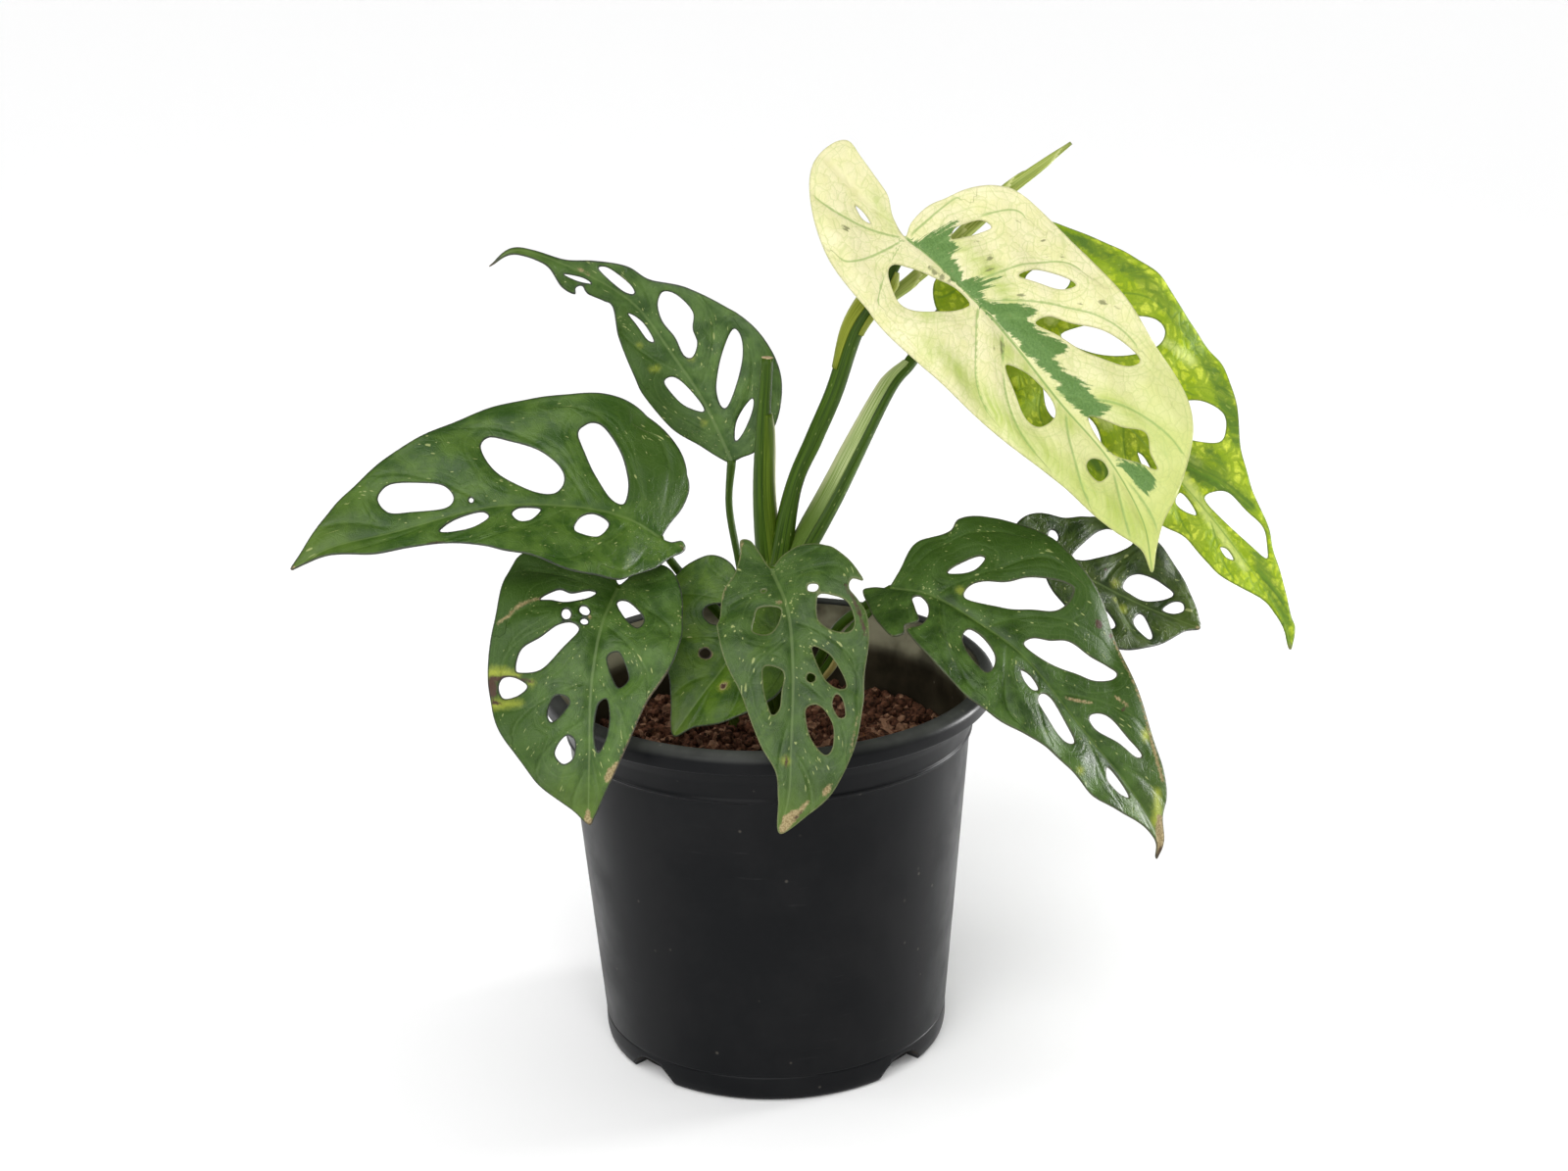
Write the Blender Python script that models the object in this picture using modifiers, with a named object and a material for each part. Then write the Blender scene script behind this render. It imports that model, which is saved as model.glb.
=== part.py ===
"""A potted monstera adansonii, in metres with +Z up.

The plant stands in a round black nursery pot full of coarse soil. One short
main shoot carries nine leaves: six dark green ones low over the rim, one behind,
a large cream one and a lime green one high on the right. The origin is the
middle of the pot's underside, and the front of the plant faces -Y.
All tables below are in millimetres and degrees.
"""

import math

import bmesh
import bpy
import numpy as np
from mathutils import Vector
from mathutils.geometry import delaunay_2d_cdt

MM = 0.001
GAP = 0.3

# Pot: turned profile, outside from the rim down, then inside from the floor up.
POT_HEIGHT = 129.3
RIM_RADIUS = 75.0
FOOT_RADIUS = 58.2
FLOOR = 2.0
POT_PROFILE = [
    (70.5, POT_HEIGHT),
    (72.5, 128.9),
    (74.3, 127.8),
    (RIM_RADIUS, 126.6),
    (74.6, 122.3),
    (70.8, 122.3),
    (68.5, 117.0),
    (67.1, 111.3),
    (67.6, 111.0),
    (67.6, 110.3),
    (66.7, 109.9),
    (58.2, 9.0),
    (57.9, 8.7),
    (58.2, 8.4),
    (FOOT_RADIUS, 4.0),
    (57.7, 1.2),
    (56.7, 0.0),
    (0.0, 0.0),
    (0.0, FLOOR),
    (54.2, FLOOR),
    (56.2, 3.6),
    (56.5, 9.0),
    (64.9, 108.0),
    (65.4, 116.5),
    (68.4, 121.5),
    (69.8, 124.0),
    (70.0, 128.9),
    (70.5, POT_HEIGHT),
]
POT_STEPS = 56
NOTCH_RADIUS = 11.0
NOTCH_SINK = 4.0
NOTCH_ANGLES = [-46, 46, 134, 226]

# Soil: a plug that fills the pot 28 mm below the rim.
SOIL_TOP = 101.0
SOIL_SIDE = [(53.8, FLOOR + GAP), (55.8, 4.0), (56.1, 9.2), (63.9, SOIL_TOP)]
SOIL_SEGMENTS = 40
SOIL_RINGS = 8
HOLE_FLOOR = 83.7

# Blades.
BLADE_THICKNESS = 0.8
LATTICE = 8.5
MIDRIB_STEP = 7.0

# One entry a leaf. spine runs from the petiole to the tip. face gives the way
# the upper side looks, at shares of the length. fold is how far each half is
# lifted from flat at the base and the tip, in degrees, and curl bends it on
# outwards, in degrees per 10 mm, the left half first. back curls the lobes
# behind the petiole. wave is the height, length and phase of the margin's
# ripple. margin and windows are (along the midrib, out to the right) points.
LEAVES = {
    "leaf_back_left": dict(
        spine=[(-10, 14, 196), (-19, 18, 216), (-29, 20, 232), (-40, 20, 248), (-55, 14, 260),
               (-75, 6, 270), (-85, 2, 266)],
        face=[(0, (-0.15, -0.95, 0.3)), (1, (-0.2, -0.9, 0.4))],
        fold=((10, 10), (5, 10)), curl=((0, 0), (-4, 0)), back=4, wave=(1.5, 42, 0.1),
        margin=[(116.5, 0), (112, -0.5), (105.5, -1.5), (99, -2), (94, -3), (88, -7), (82.5, -7.5),
                (83, -5.5), (81, -4), (78, -5.5), (71.5, -5), (67.5, -5), (58.5, -10.5),
                (43.5, -14), (34.5, -15.5), (19.5, -13.5), (9, -7), (3, -3), (0.5, -0.5), (0.5, 3.5),
                (0.5, 9), (4, 16), (10.5, 22), (18.5, 26.5), (26.5, 28), (35, 27), (46.5, 22.5),
                (55.5, 16.5), (63, 9.5), (71, 8.5), (81, 5), (90, 1.5), (100.5, 1), (108, 1)],
        windows=[
            [(56.5, 5.5), (58.5, 9.5), (55.5, 12.5), (49, 13.5), (44.5, 10.5), (39.5, 9), (36.5, 5),
             (38.5, 3), (45, 4), (51.5, 3.5)],
            [(36.5, 21), (33.5, 22), (28.5, 19), (22, 12), (17.5, 6), (19.5, 4.5), (25, 6.5), (32, 13.5)],
            [(16.5, 15), (13, 13), (8, 7.5), (6.5, 4), (11.5, 6.5), (15, 11)],
            [(34.5, -7.5), (35, -4.5), (31, -2.5), (21, -1), (20, -2.5), (25.5, -6.5)],
            [(61, -3.5), (55, -2), (48, -2.5), (49.5, -4), (55, -4)],
            [(78.5, 3.5), (76.5, 5), (71.5, 4.8), (66, 4), (64, 2.5), (67, 1.2), (73, 1.8)],
            [(88.5, -3), (82, -1.5), (78.5, -2), (83.5, -3.2)],
        ]),
    "leaf_left": dict(
        spine=[(-32, -30, 185), (-43, -33, 193), (-59, -36, 198), (-84, -41, 200), (-114, -46, 194),
               (-132, -50, 191), (-145, -52, 185)],
        face=[(0, (0, -0.6, 0.8)), (1, (-0.1, -0.6, 0.8))],
        fold=((12, 10), (12, 15)), curl=((0, 0), (0, 0)), back=3, wave=(2, 46, 0.2),
        margin=[(121, 0), (116.5, -1), (108.5, -2.5), (96.5, -7), (84.5, -8), (72.5, -11), (61, -16),
                (50.5, -23.5), (36, -27), (24.5, -28), (14, -26.5), (2.5, -15.5), (-4, -6), (-8.5, 0),
                (-6.5, 2.5), (-3, 0.3), (0, 0.5), (-0.5, 5), (-3, 14), (-1.5, 21.5), (6.5, 30.5),
                (12, 36), (18.5, 38.5), (24.5, 38.5), (33, 36.5), (43, 36.5), (51.5, 35.5), (61.5, 31.5),
                (74.5, 27), (87, 23), (99, 16.5), (106, 10.5), (114.5, 4)],
        windows=[
            [(89.5, 12.5), (84.5, 15.5), (75, 13.5), (69, 10.5), (67, 5.5), (70.5, 3), (80.5, 5), (87.5, 7)],
            [(56.5, 21.5), (54, 24.5), (49, 22.5), (41.5, 18.5), (35.5, 13), (34, 8), (37, 4), (43.5, 4.5),
             (51.5, 9.5), (55.5, 15.5)],
            [(30, 23), (28.5, 27), (25.5, 28), (22, 25), (18.5, 19.5), (15.5, 12), (15.5, 4.5), (20, 5),
             (25.5, 12.5)],
            [(73.5, -5), (68, -2), (60, -1.2), (58, -4.5), (63.5, -7.5), (70.5, -7)],
            [(50.5, -4), (47.5, -1.2), (41.5, -2), (44.5, -7), (48.5, -7.5)],
            [(31, -8.5), (28.5, -4), (24, -2), (19.5, -5), (23, -11.5), (30, -11)],
        ]),
    "leaf_front_left": dict(
        spine=[(-46, -38, 172), (-51, -50, 163), (-54, -61, 148), (-55, -69, 129), (-56, -73, 107)],
        face=[(0, (-0.1, -0.75, 0.65)), (0.4, (-0.15, -0.93, 0.35)), (1, (-0.15, -0.97, 0.2))],
        fold=((4, 12), (10, 12)), curl=((-3, 0), (-6, 0)), back=-14, wave=(1.5, 40, 0.5),
        margin=[(78, 0), (73, 5.5), (65.5, 15.5), (57, 22), (48.5, 28), (39.5, 31.5), (33, 33), (24, 33),
                (16.5, 33), (6.5, 35), (-4, 34.5), (-9, 29.5), (-11, 20.5), (-9.5, 11.5), (-5.5, 4),
                (-1, 0), (-5, -2.5), (-9, -5.5), (-12, -9), (-10, -14.5), (-4, -19.5), (4, -23),
                (12, -25.3), (21.5, -25.5), (28.5, -24), (37.5, -19.5), (48, -14.5), (57.5, -10),
                (66.5, -6), (75.5, -2)],
        windows=[
            [(12, 21), (7.5, 17), (7.5, 12.5), (5, 8), (5, 5.5), (8, 7.5), (11, 13), (11.5, 17.5)],
            [(31.5, 24), (26, 23), (22, 17.5), (18, 13), (16.5, 9), (18.5, 6.5), (24.5, 10.5), (31, 16),
             (32.5, 22)],
            [(37, 29), (34.5, 28), (34, 24.5), (36, 20), (38.5, 22.5), (39.5, 27)],
            [(43, 13), (38.5, 11), (38.5, 7.5), (40.5, 6.5), (44.5, 9.5), (46, 12)],
            [(56, 10.5), (52, 9), (50, 6.5), (52, 4.5), (57, 5), (59, 8)],
            [(6, -2), (4.5, -5), (8, -11), (11.5, -12.5), (14, -11), (11, -6.5)],
            [(25.5, -4), (23.5, -7), (26.5, -9.5), (32, -11.5), (35, -9), (32, -6.5)],
            [(44.5, -1.8), (40, -3), (39, -5.5), (44, -6.5), (50.5, -5.5), (55, -3), (50.5, -1.5)],
            [(13.5, 12.8), (13, 11.5), (14, 10.2), (15.5, 10.2), (16, 11.6), (15, 12.8)],
            [(11, 8), (10.6, 6.5), (11.6, 5), (13, 5), (13.4, 6.5), (12.5, 8)],
        ]),
    "leaf_inner": dict(
        spine=[(-4, -28, 165), (-11, -38, 149), (-21, -47, 138), (-30, -52, 127)],
        face=[(0, (-0.3, -0.75, 0.6)), (1, (-0.3, -0.85, 0.4))],
        fold=((10, 14), (10, 14)), curl=((-2, 0), (-3, 0)), back=4, wave=(1.2, 30, 0.3),
        margin=[(52.5, 0), (44, 7), (38, 12), (33, 18.5), (20.5, 25), (6, 27), (-1.5, 25.5), (-7, 20.5),
                (-9, 16), (-8, 10.5), (-4, 5.5), (0, 0.5), (-3.5, -3.5), (-0.5, -11.5), (7, -18.5),
                (16.5, -22), (25, -22.5), (30, -20.5), (35, -17), (41, -11.5), (46.5, -4.5)],
        windows=[
            [(10.5, 13.5), (7.5, 13), (5.5, 9), (7, 5), (11.5, 5.5), (13, 10)],
            [(23, 8.5), (22.8, 6.8), (24, 5.8), (25.8, 6), (26.4, 7.8), (25.2, 9.2)],
        ]),
    "leaf_front": dict(
        spine=[(2, -52, 182), (7, -65, 172), (8, -77, 156), (7, -87, 138), (6, -92, 124), (3, -94, 112)],
        face=[(0, (0, -0.80, 0.60)), (0.35, (0, -0.93, 0.35)), (1, (0, -0.97, 0.2))],
        fold=((8, 5), (8, 5)), curl=((0, 0), (-6, -4)), back=6, wave=(1.5, 36, 0.0),
        margin=[(85.5, 0), (75, 3), (66.5, 4.5), (59, 9), (51.5, 12.5), (42.5, 16), (32, 20.5), (23, 22),
                (14, 21.5), (3.5, 17), (-1, 11.5), (-7.5, 7.5), (-12, 6), (-11, 3), (-5.5, 1.5), (0, 0),
                (-2.5, -5), (-3.5, -11.5), (0, -18), (8, -22), (13, -24), (15, -24.5), (14, -21.5),
                (15.5, -19.8), (18, -21.5), (21.5, -23.5), (28, -23.5), (38, -21.5), (46.5, -21),
                (59, -19), (70.5, -13.5), (77.5, -7)],
        windows=[
            [(13, 8.5), (15, 2.5), (18, 2.5), (22.5, 5), (24, 8), (22.5, 11.5), (17.5, 10.5)],
            [(34.5, 8.5), (36, 3), (42.5, 3.5), (47.5, 4), (49.5, 6), (46.5, 7.5), (40.5, 9)],
            [(15, -10), (16, -14.5), (18.5, -18.5), (23.5, -19.5), (25.5, -17), (24, -11.5), (20.5, -8.5)],
            [(29, -6), (30, -9.5), (33, -12.5), (40, -16), (41.5, -14.5), (40, -11), (36.5, -8.5)],
            [(47.5, -4), (46, -7), (48, -10), (52.5, -12.5), (58.5, -12.5), (61, -10.5), (58.5, -7.5),
             (54, -5)],
            [(43, -13), (44.5, -15), (49, -16), (49.5, -14), (46, -12)],
            [(11.2, -8.5), (12, -10.8), (13.2, -11), (13.8, -9.5), (12.8, -7.6)],
            [(36.7, -4.8), (37.4, -6.6), (39, -6.6), (39.4, -5), (38.2, -4)],
        ]),
    "leaf_right": dict(
        spine=[(39, -24, 165), (52, -32, 165), (67, -40, 158), (81, -46, 148), (98, -53, 127),
               (114, -56, 106), (122, -56, 91), (122, -56, 83)],
        face=[(0, (0.25, -0.55, 0.8)), (0.5, (0.45, -0.65, 0.6)), (1, (0.5, -0.75, 0.4))],
        fold=((10, 12), (8, 10)), curl=((-2, 0), (-8, -4)), back=3, wave=(2, 48, 0.35),
        margin=[(131.7, 0), (124, 1.5), (116.5, 4), (106, 9.5), (95, 13.5), (84.5, 14.5), (76.5, 17),
                (64, 22.5), (52, 25), (37, 25), (28, 23), (20.5, 20.2), (17, 17.6), (19.9, 13.5), (19.6, 9),
                (17, 4.8), (12.8, 2.2), (11, 4), (14.6, 8.4), (18.1, 12.2), (15.4, 16.2), (17.2, 20),
                (13.5, 22), (4.5, 16.5), (-3, 9), (-7, 4), (-4.5, 1.5), (0, 0), (1, -6.5), (1.5, -17),
                (6, -22.5), (10, -27), (10.5, -32), (14.5, -38), (21, -42), (31.5, -41.5), (44, -37.5),
                (52, -35.5), (64, -32), (79, -25.5), (97, -18), (108, -13.5), (115, -9.5), (119.5, -4.5),
                (126, -2)],
        windows=[
            [(16, -10), (17, -16), (20, -21.5), (22, -22), (22, -16.5), (19, -12)],
            [(24.5, -5), (24.5, -11.5), (32.5, -19), (41.5, -25.5), (46.5, -29), (48.5, -29), (49.5, -23),
             (47.5, -17.5), (39.5, -11), (30, -6)],
            [(49, -3), (49, -6.5), (53, -10.5), (57, -15.5), (65, -18.5), (73.5, -23), (75, -20),
             (71.5, -14), (65.5, -10), (56.5, -4.5)],
            [(53.5, 5), (57, 3.5), (61.5, 4.5), (60.5, 7), (56.5, 7)],
            [(64.5, 8.5), (63.5, 4.5), (67, 2.5), (75.5, 4), (81, 6), (79, 9), (71.5, 9.5)],
            [(79, -4.5), (80.5, -8), (85, -10), (93, -10), (100, -10.5), (98.5, -8), (91.5, -6.5),
             (83.5, -3.5)],
            [(94.5, 3), (95.5, 1.5), (102, 1.5), (106.5, 2.5), (103, 5), (97.5, 5.5)],
            [(33, 9.5), (32.5, 5), (37, 4.5), (43.5, 7.5), (46, 11.5), (45, 15), (38.5, 13.5)],
        ]),
    "leaf_back_right": dict(
        spine=[(97, 34, 153), (111, 36, 145), (128, 38, 135), (149, 40, 125)],
        face=[(0, (0.1, -0.6, 0.8)), (1, (0.2, -0.7, 0.7))],
        fold=((6, 8), (6, 8)), curl=((0, 0), (0, 0)), back=3, wave=(1.5, 38, 0.6),
        margin=[(59.5, 0), (54, 3.5), (46.5, 11.5), (37, 19), (28.5, 22.5), (17.5, 24.5), (9, 19),
                (2.5, 13.5), (-1, 9), (-2.5, 4.5), (-0.5, 0), (-6, 1), (-12.5, 1), (-16.5, -3),
                (-15, -9.5), (-9, -15), (1, -18), (8, -22), (14, -25), (22, -26), (32, -26), (39.5, -24),
                (49, -16), (55, -9), (58, -4)],
        windows=[
            [(7, -5.5), (11.5, -14.5), (15, -19.5), (19, -21.5), (26.5, -20.5), (23, -15), (15, -8),
             (10, -5)],
            [(28, -3), (29, -7.5), (33.5, -11), (40.5, -11), (47, -9), (44.5, -5.5), (37.5, -2), (31.5, -2)],
            [(44.5, -1.5), (47.5, -5.5), (51, -6.5), (52, -4), (48.5, -1.5)],
            [(34.5, 8), (36, 4), (38.5, 4.5), (42, 10), (40.5, 13), (36.5, 11)],
            [(19.5, 11), (23, 9), (27.5, 13.5), (25.5, 16.5), (21, 14.5)],
            [(-3.5, -8.5), (-3, -11), (-1, -11.7), (0.5, -10.2), (0.2, -8.2), (-1.8, -7.4)],
        ]),
    "leaf_cream": dict(
        spine=[(47, 2, 272), (57, -2, 264), (75, -10, 246), (93, -20, 224), (108, -28, 207),
               (118, -34, 189), (121, -36, 174)],
        face=[(0, (0.3, -0.75, 0.6)), (0.5, (0.35, -0.85, 0.4)), (1, (0.35, -0.9, 0.25))],
        fold=((5, 10), (5, 10)), curl=((0, 0), (-3, -4)), back=5, wave=(2, 52, 0.15),
        margin=[(133, 0), (125.5, 2.5), (116.5, 10), (102, 16.5), (82, 21), (63.5, 25), (44, 29.5),
                (22.5, 30.5), (5.5, 29), (-10.5, 26), (-23.5, 20), (-32, 12.5), (-37.5, 5), (-38, -4.5),
                (-35, -10), (-28.5, -9.5), (-21, -8.5), (-14, -7), (-8, -2.5), (-1, 0), (-2.5, -5.5),
                (-2, -14), (2.5, -23), (9, -32.5), (14.5, -37), (27, -39.5), (38.5, -39.5), (51.5, -38),
                (66.5, -37), (82, -36.5), (91, -34), (99, -29), (106, -22), (112.5, -14.5), (118.5, -6.5),
                (124.5, -3)],
        windows=[
            [(4, 15.5), (2.5, 11), (7.5, 8), (15.5, 4.5), (22.5, 1.8), (29, 2.5), (26.5, 9.5), (20.5, 17),
             (13.5, 20)],
            [(10, -9.5), (9, -14), (12, -21), (16, -22), (14, -16.5), (11.5, -11)],
            [(32.5, -16.5), (33, -20), (35.5, -24.5), (41, -28), (45, -28.5), (43, -24), (37.5, -19.5)],
            [(46.5, -10), (47, -15), (52.5, -19), (60.5, -25.5), (70, -29.5), (77, -30), (76, -25.5),
             (69.5, -21), (62, -16.5), (53.5, -13.5)],
            [(51.5, 7.5), (57, 3), (64, 1.5), (70, 2), (73.5, 5), (73, 11), (68.5, 13), (60.5, 10.5)],
            [(80.5, -3.5), (82, -6), (89, -10), (94, -15), (99.5, -12.5), (104.5, -11.5), (100.5, -8),
             (94.5, -2.5), (87.5, -1.5)],
            [(91.5, 8), (91, 4.5), (94, 2), (98, 3), (98.5, 7.5), (94.5, 9)],
            [(-19, 4), (-15.5, 3.6), (-11.5, 5), (-14.5, 6)],
        ]),
    "leaf_lime": dict(
        spine=[(66, 30, 250), (86, 27, 235), (110, 22, 214), (138, 14, 185), (156, 8, 163), (170, 4, 142),
               (173, 2, 131)],
        face=[(0, (0.3, -0.7, 0.65)), (0.5, (0.4, -0.8, 0.45)), (1, (0.4, -0.85, 0.3))],
        fold=((5, 10), (5, 10)), curl=((0, 0), (-3, -3)), back=5, wave=(2.5, 58, 0.4),
        margin=[(164.9, 0), (152.5, 1.5), (144.5, 3), (132.5, 10), (122.5, 12), (111.5, 13), (103.5, 16.5),
                (90, 23), (74.5, 27), (54, 27.5), (33.5, 25.5), (14.5, 20.5), (2.5, 16), (-4, 12.5),
                (-8, 6), (-7, -0.5), (-2, -1.5), (-3, -10.5), (-0.5, -23), (6, -34.5), (14, -42),
                (23.5, -46), (35, -47), (46.5, -45.5), (57, -43.5), (68.5, -43), (80.5, -42), (90.5, -35.5),
                (101.5, -24), (114, -17.5), (126, -14), (140, -8.5), (153.5, -3.5), (158.5, -3)],
        windows=[
            [(36, -7.5), (40.5, -17), (48, -27.5), (55, -33.5), (60, -33.5), (61, -27.5), (56, -17.5),
             (47.5, -10)],
            [(78, -13.5), (78.5, -20), (83.5, -27), (90.5, -28.5), (95, -24.5), (96.5, -19), (89.5, -12.5),
             (83, -9.5)],
            [(106.5, -2.5), (107.5, -7.5), (111, -10.5), (118, -11), (126.5, -12), (135, -7.5), (128.5, -5),
             (115, -2.5)],
            [(100.5, 7.5), (99.5, 3), (104, 2.5), (108.5, 4), (104.5, 7)],
            [(122, 4.8), (124, 2.8), (128, 3.2), (125.5, 5.2)],
            [(16.5, -15.5), (17, -22), (21, -28.5), (27, -28), (28, -22), (23, -15)],
            [(40.5, 12), (41.5, 9), (47.5, 10), (51.5, 17.5), (46.5, 16.5)],
            [(59, 9), (63, 9), (69, 12.5), (64.5, 13)],
            [(80, 5), (82.5, 4), (87.5, 5.5), (84.5, 7)],
        ]),
}

# Stems: (x, y, z, radius) points. A petiole's last point is worked out from
# the base of the blade that it carries.
SHOOT = {
    "main": [(6, 8, 84, 5.0), (6, 8, 104, 5.0), (4, 5, 125, 5.0), (2, 1, 150, 5.2), (2, 0, 166, 5.0)],
    "cut": [(2, 1, 150, 4.2), (-0.6, 2, 185, 2.9), (0.2, 2, 210, 2.4), (2.2, 2, 234.5, 1.9)],
    "cut_sheath": [(3, 0, 150, 3.4), (3.5, 0, 180, 2.6), (3.4, 0.5, 205, 1.8), (3.4, 0.6, 217, 0.9)],
    "leaf_cream": [(3, 0, 158, 4.6), (9.3, 1, 190, 2.8), (16.5, 2, 207, 2.9), (23.3, 2, 222.6, 2.9),
                   (30.2, 3, 242, 2.8), (38.6, 4.5, 254, 2.1), (43.5, 5.2, 263, 1.6)],
    "leaf_lime": [(4, -1, 156, 4.4), (13, 0, 171, 3.6), (23.5, 4, 188.5, 3.2), (40.8, 14, 219, 2.3),
                  (49, 19, 228, 2.1), (57.5, 26, 240, 1.9)],
    "leaf_back_left": [(1, 7, 118, 2.4), (-5, 11, 140, 1.5), (-9, 13, 163, 1.25), (-11.6, 15, 181, 1.2)],
    "leaf_left": [(1, 4, 122, 2.4), (-13, -1, 146, 1.7), (-23, -7, 160, 1.5), (-29, -13, 170, 1.4),
                  (-32, -22, 178.5, 1.3)],
    "leaf_front_left": [(2, 4, 112, 2.4), (-15, -4, 138, 1.7), (-31, -15, 156, 1.5), (-42, -27, 167, 1.3)],
    "leaf_inner": [(5, 3, 108, 2.2), (1, -10, 132, 1.4), (-2, -20, 152, 1.2)],
    "leaf_front": [(4, 2, 122, 2.4), (7, -14, 150, 1.7), (7, -32, 171, 1.6), (4.5, -45, 179, 1.4)],
    "leaf_right": [(6, 4, 112, 2.4), (14, -4, 128, 1.7), (22, -12, 146, 1.6), (29, -17, 154.5, 1.5)],
    "leaf_back_right": [(6, 7, 110, 2.4), (19, 6, 126, 1.7), (27, 8, 138, 1.6), (45, 18, 152, 1.5),
                        (66, 30, 161, 1.3), (84, 35, 160, 1.3)],
}
STEM_STEPS = 3
PETIOLE_TIP = 1.1

# The next leaf, still rolled up, grows out beside the cream leaf's petiole.
ROLLED_LEAF = [(30.4, 7.5, 240, 1.2), (38, 10, 248.5, 1.8), (51.5, 15, 257.5, 2.0), (71, 24, 273, 2.2),
               (79.5, 26, 281, 2.1), (90, 27, 288.5, 1.5), (101, 27, 296.5, 0.5)]
CUT_STUB = [(-12, 20, 92, 1.9), (-12, 20, 101, 1.9), (-12.6, 19.4, 105.5, 1.7)]


def curve_through(points, steps, closed=False):
    """Rows of a Catmull-Rom curve through the points."""
    rows = np.array(points, float)
    count = len(rows)
    if closed:
        padded = np.vstack([rows[-1:], rows, rows[:2]])
    else:
        padded = np.vstack([2 * rows[0] - rows[1], rows, 2 * rows[-1] - rows[-2]])
    share = np.linspace(0, 1, steps, endpoint=False)[:, None]
    out = []
    for i in range(count if closed else count - 1):
        a, b, c, d = padded[i:i + 4]
        bend = 2 * a - 5 * b + 4 * c - d
        twist = -a + 3 * b - 3 * c + d
        out.append(0.5 * (2 * b + (c - a) * share + bend * share**2 + twist * share**3))
    if not closed:
        out.append(rows[-1:])
    return np.vstack(out)


def unit(rows):
    return rows / np.linalg.norm(rows, axis=-1, keepdims=True)


class Blade:
    """The curved surface of one leaf, in millimetres."""

    def __init__(self, spine, face, fold, curl, back, wave, margin, windows):
        self.line = curve_through(spine, 40)
        steps = np.linalg.norm(np.diff(self.line, axis=0), axis=1)
        self.reach = np.concatenate([[0], np.cumsum(steps)])
        self.length = self.reach[-1]
        self.ahead = unit(np.gradient(self.line, axis=0))
        self.shares = np.array([share for share, _ in face])
        self.faces = unit(np.array([way for _, way in face], float))
        self.fold, self.curl, self.back, self.wave = fold, curl, back, wave
        self.margin, self.windows = margin, windows

    def along(self, u, table, stops):
        return np.stack([np.interp(u, stops, table[:, i]) for i in range(3)], -1)

    def frame(self, u):
        """Centre, way ahead, upper face and way right at distances u along the midrib."""
        held = np.clip(u, 0, self.length)
        centre = self.along(held, self.line, self.reach)
        ahead = unit(self.along(held, self.ahead, self.reach))
        up = self.along(held / self.length, self.faces, self.shares)
        up = unit(up - (up * ahead).sum(-1, keepdims=True) * ahead)
        right = np.cross(ahead, up)
        behind = np.maximum(held - u, 0)[..., None]
        bend = math.radians(self.back) / 10
        turn = bend * behind
        centre = centre - ahead * np.sin(turn) / bend + up * (1 - np.cos(turn)) / bend
        centre = centre + ahead * np.maximum(u - held, 0)[..., None]
        return centre, ahead, up * np.cos(turn) + ahead * np.sin(turn), right

    def at(self, u, v):
        """Points at u along the midrib and v out to the right of it."""
        u, v = np.asarray(u, float), np.asarray(v, float)
        centre, _, up, right = self.frame(u)
        share = np.clip(u / self.length, 0, 1)
        side = (v > 0).astype(int)
        fold = np.array(self.fold, float)[side]
        curl = np.array(self.curl, float)[side]
        fold = np.radians(fold[..., 0] + (fold[..., 1] - fold[..., 0]) * share)
        curl = np.radians(curl[..., 0] + (curl[..., 1] - curl[..., 0]) * share) / 10 + 1e-9
        out = np.abs(v)
        across = np.sign(v) * (np.sin(fold + curl * out) - np.sin(fold)) / curl
        lift = (np.cos(fold) - np.cos(fold + curl * out)) / curl
        height, length, phase = self.wave
        ripple = np.sin(2 * np.pi * (u / length + phase + np.where(v > 0, 0.37, 0)))
        lift = lift + height * np.minimum(out / 30, 1.3) ** 2 * ripple
        return centre + right * across[..., None] + up * lift[..., None]

    def petiole_end(self):
        """Where the petiole meets the underside, just ahead of the sinus."""
        centre, _, up, _ = self.frame(np.array([2.0]))
        return tuple(centre[0] - up[0] * 0.9) + (PETIOLE_TIP,)


def inside(points, loop):
    """Which points lie inside the loop, by the even-odd rule."""
    x, y = points[:, 0, None], points[:, 1, None]
    ax, ay = loop[:, 0], loop[:, 1]
    bx, by = np.roll(ax, -1), np.roll(ay, -1)
    crosses = (ay > y) != (by > y)
    level = np.where(by == ay, 1.0, by - ay)
    return (crosses & (x < ax + (y - ay) * (bx - ax) / level)).sum(axis=1) % 2 == 1


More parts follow.
